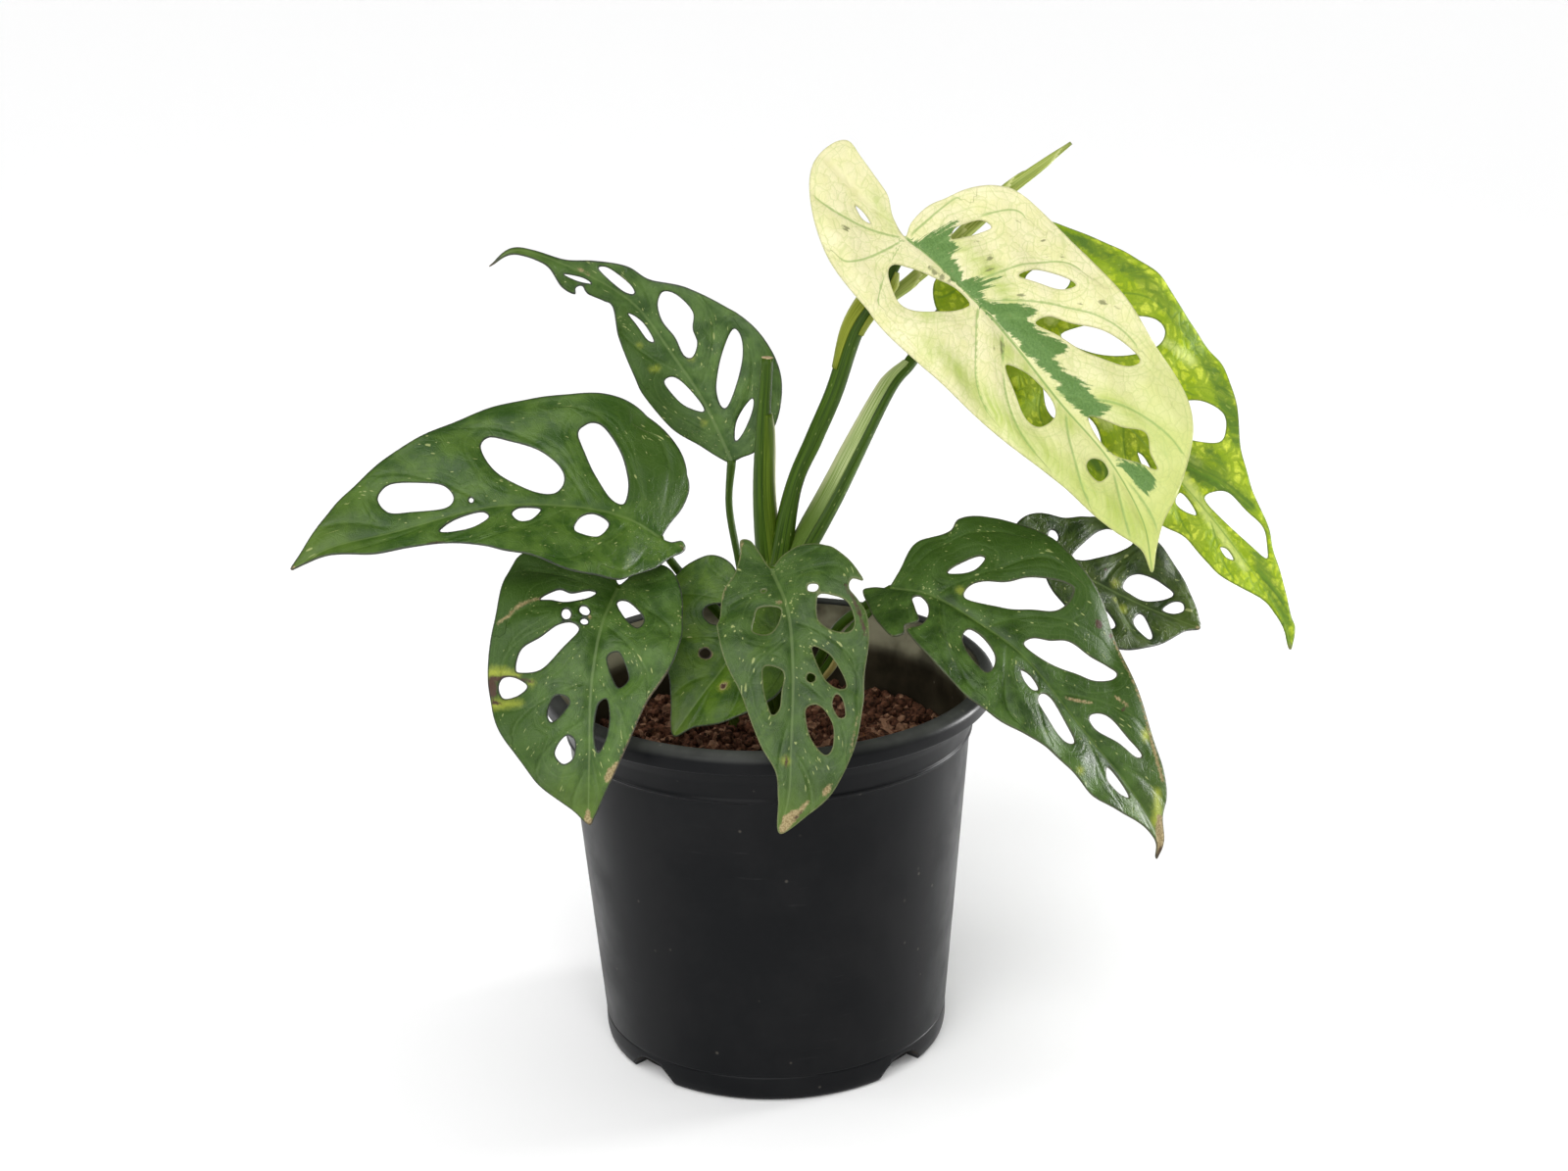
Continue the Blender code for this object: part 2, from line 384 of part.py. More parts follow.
def sheet(blade):
    """Flat (u, v) points and triangles of a blade, with its windows left open."""
    loops = [curve_through(blade.margin, 2, closed=True)]
    for window in blade.windows:
        loops.append(curve_through(window, 1 if len(window) > 7 else 2, closed=True))
    points, edges = [], []
    for loop in loops:
        first = len(points)
        points += loop.tolist()
        edges += [(first + i, first + (i + 1) % len(loop)) for i in range(len(loop))]
    rim = np.array(points)
    low, high = rim.min(axis=0), rim.max(axis=0)
    rows = np.arange(low[0], high[0], LATTICE * 0.87)
    lattice = [(u, v + (i % 2) * LATTICE / 2) for i, u in enumerate(rows)
               for v in np.arange(low[1] - LATTICE, high[1], LATTICE)]
    midrib = [(u, 0.0) for u in np.arange(3.0, blade.length - 4, MIDRIB_STEP)]
    for spots, room in ((midrib, 0.7), (lattice, 0.5 * LATTICE)):
        spots = np.array(spots)
        keep = inside(spots, loops[0])
        for window in loops[1:]:
            keep &= ~inside(spots, window)
        near = np.linalg.norm(spots[:, None] - rim[None], axis=2).min(axis=1)
        spots = spots[keep & (near > room)]
        points += spots.tolist()
        rim = np.vstack([rim, spots])
    coords = [Vector(point) for point in points]
    corners, _, faces, *_ = delaunay_2d_cdt(coords, edges, [], 0, 1e-4)
    corners = np.array(corners)
    centres = np.array([corners[list(face)].mean(axis=0) for face in faces])
    keep = inside(centres, loops[0])
    for window in loops[1:]:
        keep &= ~inside(centres, window)
    return corners, [face for face, kept in zip(faces, keep) if kept]


def material(name, colour, roughness):
    new = bpy.data.materials.new(name)
    new.use_nodes = True
    shader = new.node_tree.nodes["Principled BSDF"]
    shader.inputs["Base Color"].default_value = (*colour, 1)
    shader.inputs["Roughness"].default_value = roughness
    shader.inputs["Metallic"].default_value = 0
    return new


def new_object(name, mesh, collection, look=None):
    obj = bpy.data.objects.new(name, mesh)
    collection.objects.link(obj)
    if look:
        mesh.materials.clear()
        mesh.materials.append(look)
    return obj


def mesh_from(name, points, faces):
    mesh = bpy.data.meshes.new(name)
    mesh.from_pydata([tuple(point) for point in points], [], [tuple(face) for face in faces])
    mesh.update()
    return mesh


def as_cutter(obj):
    obj.hide_render = True
    obj.display_type = "WIRE"
    return obj


def solidify(obj, thickness):
    shell = obj.modifiers.new("Thickness", "SOLIDIFY")
    shell.thickness = thickness * MM
    shell.offset = 0
    return obj


def boolean(obj, operation, cutter):
    step = obj.modifiers.new(operation.title(), "BOOLEAN")
    step.operation = operation
    step.object = cutter


def evaluated_mesh(obj, name):
    graph = bpy.context.evaluated_depsgraph_get()
    mesh = bpy.data.meshes.new_from_object(obj.evaluated_get(graph))
    mesh.name = name
    return mesh


def tube(name, points, collection, steps=STEM_STEPS, resolution=2):
    """A tapering stem as a closed mesh."""
    rows = curve_through(points, steps)
    curve = bpy.data.curves.new(name, "CURVE")
    curve.dimensions = "3D"
    curve.bevel_depth = MM
    curve.bevel_resolution = resolution
    curve.use_fill_caps = True
    spline = curve.splines.new("POLY")
    spline.points.add(len(rows) - 1)
    for point, row in zip(spline.points, rows):
        point.co = (*(row[:3] * MM), 1)
        point.radius = row[3]
    guide = new_object(name, curve, collection)
    bpy.context.view_layer.update()
    mesh = evaluated_mesh(guide, name)
    bpy.data.objects.remove(guide)
    weld = bmesh.new()
    weld.from_mesh(mesh)
    bmesh.ops.remove_doubles(weld, verts=weld.verts, dist=1e-6)
    bmesh.ops.recalc_face_normals(weld, faces=weld.faces)
    weld.to_mesh(mesh)
    weld.free()
    return new_object(name, mesh, collection)


def add_pot(collection, cutters, look):
    mesh = bpy.data.meshes.new("pot")
    ends = range(len(POT_PROFILE) - 1)
    mesh.from_pydata([(r * MM, 0, z * MM) for r, z in POT_PROFILE], [(i, i + 1) for i in ends], [])
    pot = new_object("pot", mesh, collection, look)
    turn = pot.modifiers.new("Turn", "SCREW")
    turn.steps = turn.render_steps = POT_STEPS
    turn.use_merge_vertices = True
    turn.merge_threshold = 0.0001
    turn.use_smooth_shade = False
    for angle in NOTCH_ANGLES:
        bpy.ops.mesh.primitive_cylinder_add(vertices=24, radius=NOTCH_RADIUS * MM, depth=14 * MM)
        cutter = as_cutter(bpy.context.object)
        cutter.name = f"notch_cutter_{angle % 360}"
        way = math.radians(angle)
        outward = Vector((math.sin(way), -math.cos(way), 0))
        cutter.rotation_euler = outward.to_track_quat("Z", "Y").to_euler()
        cutter.location = (outward * 55 - Vector((0, 0, NOTCH_SINK))) * MM
        for group in list(cutter.users_collection):
            group.objects.unlink(cutter)
        cutters.objects.link(cutter)
        boolean(pot, "DIFFERENCE", cutter)
    return pot


def soil_height(x, y):
    """Crumbs and small hollows of the soil's top."""
    rough = math.sin(0.31 * x + 1.3) * math.sin(0.27 * y + 0.4)
    rough += 0.6 * math.sin(0.62 * x - 0.35 * y) * math.sin(0.49 * y + 0.21 * x + 2.0)
    return SOIL_TOP + 0.9 * rough


def add_soil(collection, cutters, look):
    mesh = bpy.data.meshes.new("soil")
    build = bmesh.new()
    loops = []
    levels = [(radius, height, False) for radius, height in SOIL_SIDE]
    top = SOIL_SIDE[-1][0]
    levels += [(top * share / SOIL_RINGS, 0, True) for share in range(SOIL_RINGS - 1, 0, -1)]
    for radius, height, rough in levels:
        loop = []
        for i in range(SOIL_SEGMENTS):
            way = 2 * math.pi * i / SOIL_SEGMENTS
            x, y = radius * math.cos(way), radius * math.sin(way)
            loop.append(build.verts.new((x * MM, y * MM, (soil_height(x, y) if rough else height) * MM)))
        loops.append(loop)
    for low, high in zip(loops, loops[1:]):
        for i in range(SOIL_SEGMENTS):
            j = (i + 1) % SOIL_SEGMENTS
            build.faces.new((low[i], low[j], high[j], high[i]))
    build.faces.new(loops[0][::-1])
    build.faces.new(loops[-1])
    bmesh.ops.triangulate(build, faces=build.faces)
    build.to_mesh(mesh)
    build.free()
    soil = new_object("soil", mesh, collection, look)
    for name, (x, y, _, radius), floor in (
        ("shoot_hole", SHOOT["main"][0], HOLE_FLOOR),
        ("stub_hole", CUT_STUB[0], CUT_STUB[0][2] - GAP),
    ):
        bpy.ops.mesh.primitive_cylinder_add(vertices=16, radius=(radius + GAP + 0.15) * MM, depth=40 * MM)
        hole = as_cutter(bpy.context.object)
        hole.name = name
        hole.location = (x * MM, y * MM, (floor + 20) * MM)
        for group in list(hole.users_collection):
            group.objects.unlink(hole)
        cutters.objects.link(hole)
        boolean(soil, "DIFFERENCE", hole)
    return soil


def add_leaf(name, blade, collection, cutters, look):
    """The blade, and a thicker copy that clears its petiole."""
    corners, faces = sheet(blade)
    points = blade.at(corners[:, 0], corners[:, 1]) * MM
    leaf = new_object(name, mesh_from(name, points, faces), collection, look)
    normal_up = leaf.data.polygons[0].normal.dot(Vector(blade.frame(np.array([blade.length / 2]))[2][0]))
    if normal_up < 0:
        leaf.data.flip_normals()
    solidify(leaf, BLADE_THICKNESS)
    clear = new_object(name + "_clearance", leaf.data.copy(), cutters)
    return leaf, as_cutter(solidify(clear, BLADE_THICKNESS + 2 * GAP))


def add_shoot(collection, blades, clearances, look):
    """Main stem, cut petiole and every petiole, grown together as one body."""
    group = bpy.data.collections.new("shoot_pieces")
    bpy.context.scene.collection.children.link(group)
    pieces = []
    for name, points in SHOOT.items():
        route = list(points)
        if name in blades:
            route.append(blades[name].petiole_end())
        thick = name == "main" or name.startswith("cut")
        pieces.append(tube("piece_" + name, route, group, resolution=3 if thick else 2))
    trunk = pieces[0]
    group.objects.unlink(trunk)
    bpy.context.scene.collection.objects.link(trunk)
    union = trunk.modifiers.new("Grown together", "BOOLEAN")
    union.operation = "UNION"
    union.operand_type = "COLLECTION"
    union.collection = group
    bpy.context.view_layer.update()
    shoot = new_object("shoot", evaluated_mesh(trunk, "shoot"), collection, look)
    for piece in pieces:
        bpy.data.objects.remove(piece)
    bpy.data.collections.remove(group)
    for clear in clearances:
        boolean(shoot, "DIFFERENCE", clear)
    return shoot


def main():
    for obj in list(bpy.data.objects):
        bpy.data.objects.remove(obj)
    parts = bpy.data.collections.new("monstera_adansonii")
    cutters = bpy.data.collections.new("cutters")
    bpy.context.scene.collection.children.link(parts)
    bpy.context.scene.collection.children.link(cutters)

    green = material("leaf green", (0.07, 0.16, 0.025), 0.42)
    cream = material("leaf cream", (0.78, 0.76, 0.42), 0.5)
    lime = material("leaf lime", (0.32, 0.47, 0.06), 0.45)
    stem = material("stem green", (0.10, 0.19, 0.02), 0.45)
    bud = material("rolled leaf green", (0.45, 0.52, 0.12), 0.45)
    plastic = material("black plastic", (0.02, 0.021, 0.022), 0.42)
    earth = material("soil", (0.09, 0.04, 0.025), 0.95)

    add_pot(parts, cutters, plastic)
    add_soil(parts, cutters, earth)
    blades, clearances = {}, []
    for name, shape in LEAVES.items():
        blades[name] = Blade(**shape)
        look = {"leaf_cream": cream, "leaf_lime": lime}.get(name, green)
        _, clear = add_leaf(name, blades[name], parts, cutters, look)
        clearances.append(clear)
    add_shoot(parts, blades, clearances, stem)
    for name, points, look in (("rolled_leaf", ROLLED_LEAF, bud), ("cut_stub", CUT_STUB, stem)):
        grown = tube(name, points, parts)
        grown.data.materials.append(look)
    for obj in parts.objects:
        if obj.name not in ("pot", "soil"):
            obj.data.shade_smooth()


main()
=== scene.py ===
# %% [markdown]
# # A potted monstera adansonii
#
# This lesson dresses a packed CAD model of a young swiss cheese vine in a black nursery pot. The CAD
# model already has every leaf, window, stem and the pot in place, but with flat facets. Here each of
# them gets a finer mesh over the same curves, and a material made of nodes.
#
# Lengths in the tables are millimetres, as a gardener would measure them. MM turns them into metres.

# %% Load the packed model
import math
import random

import bmesh
import bpy
import numpy as np
from mathutils import Euler, Matrix, Vector, kdtree
from mathutils.geometry import delaunay_2d_cdt


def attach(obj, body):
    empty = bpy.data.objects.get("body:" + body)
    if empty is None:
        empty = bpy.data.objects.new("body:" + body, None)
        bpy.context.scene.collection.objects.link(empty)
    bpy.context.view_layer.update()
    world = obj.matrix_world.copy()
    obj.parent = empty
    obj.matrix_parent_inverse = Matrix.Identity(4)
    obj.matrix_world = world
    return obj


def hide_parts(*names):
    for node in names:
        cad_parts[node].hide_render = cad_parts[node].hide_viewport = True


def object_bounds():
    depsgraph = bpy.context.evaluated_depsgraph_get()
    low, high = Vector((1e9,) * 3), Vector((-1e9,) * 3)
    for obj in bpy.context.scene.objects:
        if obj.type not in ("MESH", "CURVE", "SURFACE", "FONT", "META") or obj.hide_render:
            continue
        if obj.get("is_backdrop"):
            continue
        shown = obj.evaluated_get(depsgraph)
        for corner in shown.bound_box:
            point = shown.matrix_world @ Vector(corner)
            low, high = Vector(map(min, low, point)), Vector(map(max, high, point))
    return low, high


MM = 0.001
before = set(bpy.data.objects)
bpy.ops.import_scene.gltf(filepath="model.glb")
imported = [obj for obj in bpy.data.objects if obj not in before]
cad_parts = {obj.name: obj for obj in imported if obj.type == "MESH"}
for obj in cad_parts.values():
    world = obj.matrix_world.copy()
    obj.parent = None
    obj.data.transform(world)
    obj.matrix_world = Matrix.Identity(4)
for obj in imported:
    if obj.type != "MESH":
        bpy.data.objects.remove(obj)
cad_low, cad_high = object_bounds()
print("CAD box in mm:", [round(side / MM, 1) for side in cad_high - cad_low])

# %% [markdown]
# ## The camera
#
# The photograph looks slightly down on the pot from the front. A long lens far away would flatten the
# rim into a straight line, so the lens and the distance are those at which the pot's circles look as
# open as they do in the photograph. The camera also leans by a little over one degree.

# %% Place the camera
CAMERA_TARGET = Vector((5.9, 0, 158.1)) * MM
CAMERA_DISTANCE = 900 * MM
CAMERA_ELEVATION = math.radians(19.16)
CAMERA_LEAN = -0.0222
LENS = 63.12

back = Vector((0, -math.cos(CAMERA_ELEVATION), math.sin(CAMERA_ELEVATION)))
camera_data = bpy.data.cameras.new("camera")
camera_data.lens = LENS
camera_data.sensor_width = 36
camera_data.clip_start = 0.05
camera = bpy.data.objects.new("camera", camera_data)
bpy.context.scene.collection.objects.link(camera)
level = Vector((1, 0, 0))
upright = level.cross(-back)
sideways = level * math.cos(CAMERA_LEAN) + upright * math.sin(CAMERA_LEAN)
overhead = upright * math.cos(CAMERA_LEAN) - level * math.sin(CAMERA_LEAN)
axes = Matrix((sideways, overhead, back)).transposed()
camera.matrix_world = Matrix.Translation(CAMERA_TARGET + back * CAMERA_DISTANCE) @ axes.to_4x4()
bpy.context.scene.camera = camera
print("camera height in mm:", round(camera.matrix_world.translation.z / MM))

# %% [markdown]
# ## Light and floor
#
# A product photograph of a plant on white is lit through large cloths. One hangs overhead and keeps the
# floor so pale that only the contact shadow shows. The other stands in front, to the left of the
# camera, and gives the broad grey sheen on each leaf. A sun lamp with a wide angle is such a cloth, and
# it lights the far floor as much as the near. A box behind on the right draws the pale streak down the
# pot, and a dim one on the left keeps the other edge from going black.

# %% Light the stage
SKY_LEVEL = 0.1
# Each cloth: where it hangs, its angle in degrees, its power, and whether it shows in reflections.
CLOTHS = {
    "overhead cloth": ((-0.04, 0.08, 1.0), 80, 1.48, False),
    "front cloth": ((-0.2, -1.0, 0.62), 62, 2.88, True),
}
FLOOR_HALF = 30.0
FLOOR_DROP = 0.3 * MM

scene = bpy.context.scene
scene.view_settings.view_transform = "Standard"


def add_lamp(name, kind, place, aim):
    light = bpy.data.lights.new(name, kind)
    lamp = bpy.data.objects.new(name, light)
    lamp.location = place
    lamp.rotation_euler = (Vector(aim) - Vector(place)).to_track_quat("-Z", "Y").to_euler()
    scene.collection.objects.link(lamp)
    return light


def soft_box(name, place, aim, size, power):
    light = add_lamp(name, "AREA", place, aim)
    light.shape = "RECTANGLE"
    light.size, light.size_y = size
    light.energy = power


for name, (way, angle, power, mirrored) in CLOTHS.items():
    cloth = add_lamp(name, "SUN", way, (0, 0, 0))
    cloth.angle = math.radians(angle)
    cloth.energy = power
    scene.objects[name].visible_glossy = mirrored
soft_box("right strip", (0.95, 0.3, 0.08), (0, 0, 0.06), (0.26, 0.4), 16)
soft_box("left box", (-1.1, -0.1, 0.3), (0, 0, 0.1), (0.4, 0.6), 3)

world = bpy.data.worlds.new("studio")
world.use_nodes = True
sky = world.node_tree.nodes["Background"].inputs
sky["Color"].default_value = (1, 1, 1, 1)
sky["Strength"].default_value = SKY_LEVEL
scene.world = world

floor_mesh = bpy.data.meshes.new("floor")
corners = [(FLOOR_HALF * x, FLOOR_HALF * y, 0) for x, y in ((-1, -1), (1, -1), (1, 1), (-1, 1))]
floor_mesh.from_pydata(corners, [], [(0, 1, 2, 3)])
floor = bpy.data.objects.new("floor", floor_mesh)
floor.location.z = -FLOOR_DROP
scene.collection.objects.link(floor)
floor_look = bpy.data.materials.new("pale floor")
floor_look.use_nodes = True
paper = floor_look.node_tree.nodes["Principled BSDF"].inputs
paper["Base Color"].default_value = (0.98, 0.98, 0.98, 1)
paper["Roughness"].default_value = 0.9
floor_mesh.materials.append(floor_look)
floor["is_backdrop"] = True

# %% [markdown]
# ## Writing shaders in few lines
#
# All looks here are node trees. Adding and linking nodes one by one takes four lines a node, so a small
# class does it: each of its methods adds one node and returns its output, and an input may be a number,
# a colour or another node's output.

# %% A short way to write node trees
class Graph:
    """Adds shader nodes to a tree, one a call."""

    def __init__(self, tree):
        self.tree = tree

    def give(self, socket, value):
        if isinstance(value, bpy.types.NodeSocket):
            self.tree.links.new(value, socket)
        else:
            socket.default_value = value

    def math(self, operation, *values):
        node = self.tree.nodes.new("ShaderNodeMath")
        node.operation = operation
        for socket, value in zip(node.inputs, values):
            self.give(socket, value)
        return node.outputs[0]

    def times(self, a, b):
        return self.math("MULTIPLY", a, b)

    def plus(self, a, b):
        return self.math("ADD", a, b)

    def minus(self, a, b):
        return self.math("SUBTRACT", a, b)

    def most(self, a, b):
        return self.math("MAXIMUM", a, b)

    def size(self, a):
        return self.math("ABSOLUTE", a)

    def step(self, value, low, high, start=0.0, end=1.0):
        """A soft step from start, at low, to end, at high."""
        node = self.tree.nodes.new("ShaderNodeMapRange")
        node.interpolation_type = "SMOOTHSTEP"
        for socket, given in zip(node.inputs, (value, low, high, start, end)):
            self.give(socket, given)
        return node.outputs[0]

    def mix(self, share, low, high):
        """A colour on the way from low to high."""
        node = self.tree.nodes.new("ShaderNodeMix")
        node.data_type = "RGBA"
        for index, value in ((0, share), (6, low), (7, high)):
            if isinstance(value, tuple):
                value = (*value, 1)
            self.give(node.inputs[index], value)
        return node.outputs[2]

    def coat(self, ground, cover, mask, strength):
        """The ground colour with a cover over it, as far as mask times strength."""
        return self.mix(self.times(mask, strength), ground, cover)

    def stretch(self, place, scale):
        node = self.tree.nodes.new("ShaderNodeVectorMath")
        node.operation = "MULTIPLY"
        self.give(node.inputs[0], place)
        self.give(node.inputs[1], scale)
        return node.outputs[0]

    def join(self, x, y, z):
        node = self.tree.nodes.new("ShaderNodeCombineXYZ")
        for socket, value in zip(node.inputs, (x, y, z)):
            self.give(socket, value)
        return node.outputs[0]

    def split(self, vector):
        node = self.tree.nodes.new("ShaderNodeSeparateXYZ")
        self.give(node.inputs[0], vector)
        return node.outputs

    def field(self, name):
        """A value stored on the mesh."""
        node = self.tree.nodes.new("ShaderNodeAttribute")
        node.attribute_name = name
        return node.outputs["Vector"]

    def spot(self):
        """The place on the object, in metres."""
        return self.tree.nodes.new("ShaderNodeTexCoord").outputs["Object"]

    def noise(self, place, scale, detail=2.0, roughness=0.5):
        node = self.tree.nodes.new("ShaderNodeTexNoise")
        self.give(node.inputs["Vector"], place)
        for name, value in (("Scale", scale), ("Detail", detail), ("Roughness", roughness)):
            self.give(node.inputs[name], value)
        return node.outputs[0]

    def cells(self, place, scale, feature="F1"):
        """Distance and, except for edges, a random colour of the nearest cell."""
        node = self.tree.nodes.new("ShaderNodeTexVoronoi")
        node.feature = feature
        self.give(node.inputs["Vector"], place)
        self.give(node.inputs["Scale"], scale)
        return node.outputs

    def group(self, group, **values):
        node = self.tree.nodes.new("ShaderNodeGroup")
        node.node_tree = group
        for name, value in values.items():
            self.give(node.inputs[name], value)
        return node.outputs


def new_group(name, outputs, **inputs):
    """A node group with number inputs and outputs: its graph, its inputs, and a way to close it."""
    tree = bpy.data.node_groups.new(name, "ShaderNodeTree")
    for label, value in inputs.items():
        socket = tree.interface.new_socket(label, in_out="INPUT", socket_type="NodeSocketFloat")
        socket.default_value = value
    for label in outputs:
        tree.interface.new_socket(label, in_out="OUTPUT", socket_type="NodeSocketFloat")
    entry, exit_node = (tree.nodes.new(kind) for kind in ("NodeGroupInput", "NodeGroupOutput"))
    graph = Graph(tree)

    def close(*values):
        for socket, value in zip(exit_node.inputs, values):
            graph.give(socket, value)
        print("group", name, "with", len(tree.nodes), "nodes")
        return tree

    return graph, entry.outputs, close


def new_look(name, roughness=0.5, specular=0.5):
    """A material, its graph and its Principled BSDF."""
    look = bpy.data.materials.new(name)
    look.use_nodes = True
    shader = look.node_tree.nodes["Principled BSDF"]
    shader.inputs["Roughness"].default_value = roughness
    shader.inputs["Specular IOR Level"].default_value = specular
    return look, Graph(look.node_tree), shader


def paint(graph, shader, colour, roughness=None):
    """Links the colour and, where it varies, the roughness."""
    graph.give(shader.inputs["Base Color"], colour)
    if roughness is not None:
        graph.give(shader.inputs["Roughness"], roughness)


def add_bump(graph, shader, height, distance, strength=1.0):
    """Fine relief of the given depth, in metres."""
    node = graph.tree.nodes.new("ShaderNodeBump")
    node.inputs["Strength"].default_value = strength
    node.inputs["Distance"].default_value = distance
    graph.give(node.inputs["Height"], height)
    graph.give(shader.inputs["Normal"], node.outputs[0])


print("node helpers:", sum(callable(item) for item in vars(Graph).values()))

# %% [markdown]
# ## Marks that several materials share
#
# Dust and scuffs appear on both plastics of the pot, and fine lengthwise stripes on every stem. Each is
# a node group: a material gives it its own amounts and uses the masks that come out.

# %% Groups for scuffed plastic and striped stems
def plastic_group():
    graph, given, close = new_group("scuffs and dust", ("Cloud", "Scratch", "Speck", "Grain"), Wear=0.5)
    spot = graph.spot()
    cloud = graph.noise(spot, 38, 4, 0.6)
    flat = graph.stretch(spot, (60, 60, 900))
    scratch = graph.step(graph.noise(flat, 1, 3, 0.7), 0.62, 0.78)
    scratch = graph.times(scratch, graph.step(graph.noise(spot, 22), 0.5, 0.7))
    cell = graph.cells(spot, 210)
    rare = graph.step(graph.split(cell[1])[0], 0.9, 0.95)
    speck = graph.times(graph.step(cell[0], 0.05, 0.16, 1, 0), rare)
    scratch, speck = (graph.times(value, given["Wear"]) for value in (scratch, speck))
    return close(cloud, scratch, speck, graph.noise(spot, 1500, 2))


def stripe_group():
    graph, given, close = new_group("stem stripes", ("Stripe", "Fleck", "Side", "Height"), Count=9.0)
    turn, along, pale = graph.split(graph.field("round"))
    across = graph.times(turn, given["Count"])
    place = graph.join(across, graph.times(along, 0.035), 0)
    stripe = graph.noise(place, 1, 2, 0.6)
    dash = graph.join(graph.times(turn, 4), graph.times(along, 0.4), 0)
    cell = graph.cells(dash, 1)
    rare = graph.step(graph.split(cell[1])[0], 0.8, 0.86)
    fleck = graph.times(graph.step(cell[0], 0.1, 0.3, 1, 0), rare)
    return close(stripe, fleck, pale, graph.plus(stripe, graph.times(fleck, 0.3)))


SCUFFS = plastic_group()
STRIPES = stripe_group()

# %% [markdown]
# ## The pot
#
# A nursery pot is blow-moulded or injected in thin black plastic: a rolled rim, a shallow ridge below
# it, a tapered wall, and a foot with four notches that let water out. A solid of revolution needs only
# its profile: the (radius, height) corners are listed once round the wall, each corner is rounded, and
# the profile is turned about the axis.

# %% Draw the pot's profile
POT_HEIGHT = 129.3
RIM_RADIUS = 75.0
FOOT_RADIUS = 58.2
POT_OUTSIDE = [
    (69.8, 128.6), (70.6, POT_HEIGHT), (72.6, 129.0), (74.3, 127.9), (RIM_RADIUS, 126.4),
    (74.7, 122.6), (74.2, 122.2), (71.2, 122.4), (70.5, 121.8), (68.5, 117.0), (67.1, 111.4),
    (67.6, 110.8), (67.6, 110.1), (66.7, 109.6), (58.25, 9.2), (57.95, 8.8), (58.25, 8.4),
    (FOOT_RADIUS, 4.0), (57.7, 1.2), (56.7, 0.0), (2.0, 0.0),
]
POT_INSIDE = [
    (2.0, 2.0), (54.2, 2.0), (56.2, 3.6), (56.5, 9.0), (64.9, 108.0), (65.4, 116.5), (68.4, 121.5),
    (69.8, 124.0), (70.0, 127.4),
]
POT_SEGMENTS = 256
CORNER_ROUND = 0.8


def rounded(profile, radius, steps=4):
    """The closed profile with each corner replaced by a small curve."""
    points = [np.array(point, float) for point in profile]
    out = []
    for before, corner, after in zip(points[-1:] + points[:-1], points, points[1:] + points[:1]):
        sides = [(end - corner, np.linalg.norm(end - corner)) for end in (before, after)]
        start, end = (corner + way / size * min(radius, size / 2.2) for way, size in sides)
        for share in np.linspace(0, 1, steps):
            out.append((1 - share) ** 2 * start + 2 * share * (1 - share) * corner + share**2 * end)
    return np.array(out)


def turned(name, profile, segments, materials):
    """A closed ring with this profile, turned about the Z axis."""
    turns = 2 * np.pi * np.arange(segments) / segments
    rows = [np.stack([r * np.cos(turns), r * np.sin(turns), np.full(segments, z)], -1) for r, z in profile]
    i = np.arange(segments)
    j = (i + 1) % segments
    faces = []
    for k in range(len(profile)):
        low, high = k * segments, (k + 1) % len(profile) * segments
        faces += np.stack([low + i, high + i, high + j, low + j], -1).tolist()
    return new_object(name, np.vstack(rows) * MM, faces, materials)


def new_object(name, points, faces, materials=()):
    mesh = bpy.data.meshes.new(name)
    mesh.from_pydata([tuple(point) for point in points], [], [tuple(face) for face in faces])
    for look in materials:
        mesh.materials.append(look)
    mesh.shade_smooth()
    obj = bpy.data.objects.new(name, mesh)
    scene.collection.objects.link(obj)
    return obj


pot_profile = rounded(POT_OUTSIDE + POT_INSIDE, CORNER_ROUND)
print("profile points:", len(pot_profile))

# %% [markdown]
# ## The pot's plastic
#
# The plastic outside is satin, with faint clouds, hairline scratches and a few specks, and its rim is
# worn paler by hands. Inside, dried water and dust have left a brown film above the soil, and the top of
# the inner wall is painted paler: painted light where the wall is lit. One function makes both looks,
# because they differ only in their values.

# %% Clean and dusty plastic, with painted light inside
RIM_WEAR = (126 * MM, 129 * MM)
COLLAR_PAINTED_LIGHT = (113 * MM, 119 * MM)


def plastic_look(name, base, film, film_share, roughness, wear, painted_light_band=None):
    look, graph, shader = new_look(name, roughness, specular=0.1)
    cloud, scratch, speck, grain = graph.group(SCUFFS, Wear=wear)
    colour = graph.mix(graph.step(cloud, *film_share), base, film)
    level = graph.split(graph.spot())[2]
    worn = graph.times(graph.step(level, *RIM_WEAR), graph.step(cloud, 0.3, 0.7, 0.45, 0.95))
    colour = graph.mix(worn, colour, (0.07, 0.073, 0.066))
    if painted_light_band:
        # Painted light: the top of the inner wall is painted paler, where it is lit.
        pale = graph.times(graph.step(level, *COLLAR_PAINTED_LIGHT), graph.step(cloud, 0.3, 0.6, 0.25, 1))
        colour = graph.mix(pale, colour, painted_light_band)
    colour = graph.coat(colour, (0.3, 0.3, 0.29), scratch, 0.12)
    colour = graph.coat(colour, (0.34, 0.3, 0.25), speck, 0.35)
    paint(graph, shader, colour, graph.step(cloud, 0.3, 0.75, roughness - 0.06, roughness + 0.12))
    add_bump(graph, shader, graph.minus(grain, scratch), 0.02 * MM, 0.5)
    return look


BLACK_PLASTIC = plastic_look("black plastic", (0.0034, 0.0038, 0.0045), (0.0062, 0.0064, 0.007),
                             (0.35, 0.75), 0.34, 0.35)
# The inner plastic: a dust film, and painted light round the top of the inner wall.
DUST_AND_PAINTED_LIGHT_PLASTIC = plastic_look("dusty plastic with painted light", (0.014, 0.011, 0.006), (0.05, 0.04, 0.024),
                             (0.3, 0.66), 0.62, 0.6, painted_light_band=(0.23, 0.215, 0.145))
print("plastics:", BLACK_PLASTIC.name, "and", DUST_AND_PAINTED_LIGHT_PLASTIC.name)
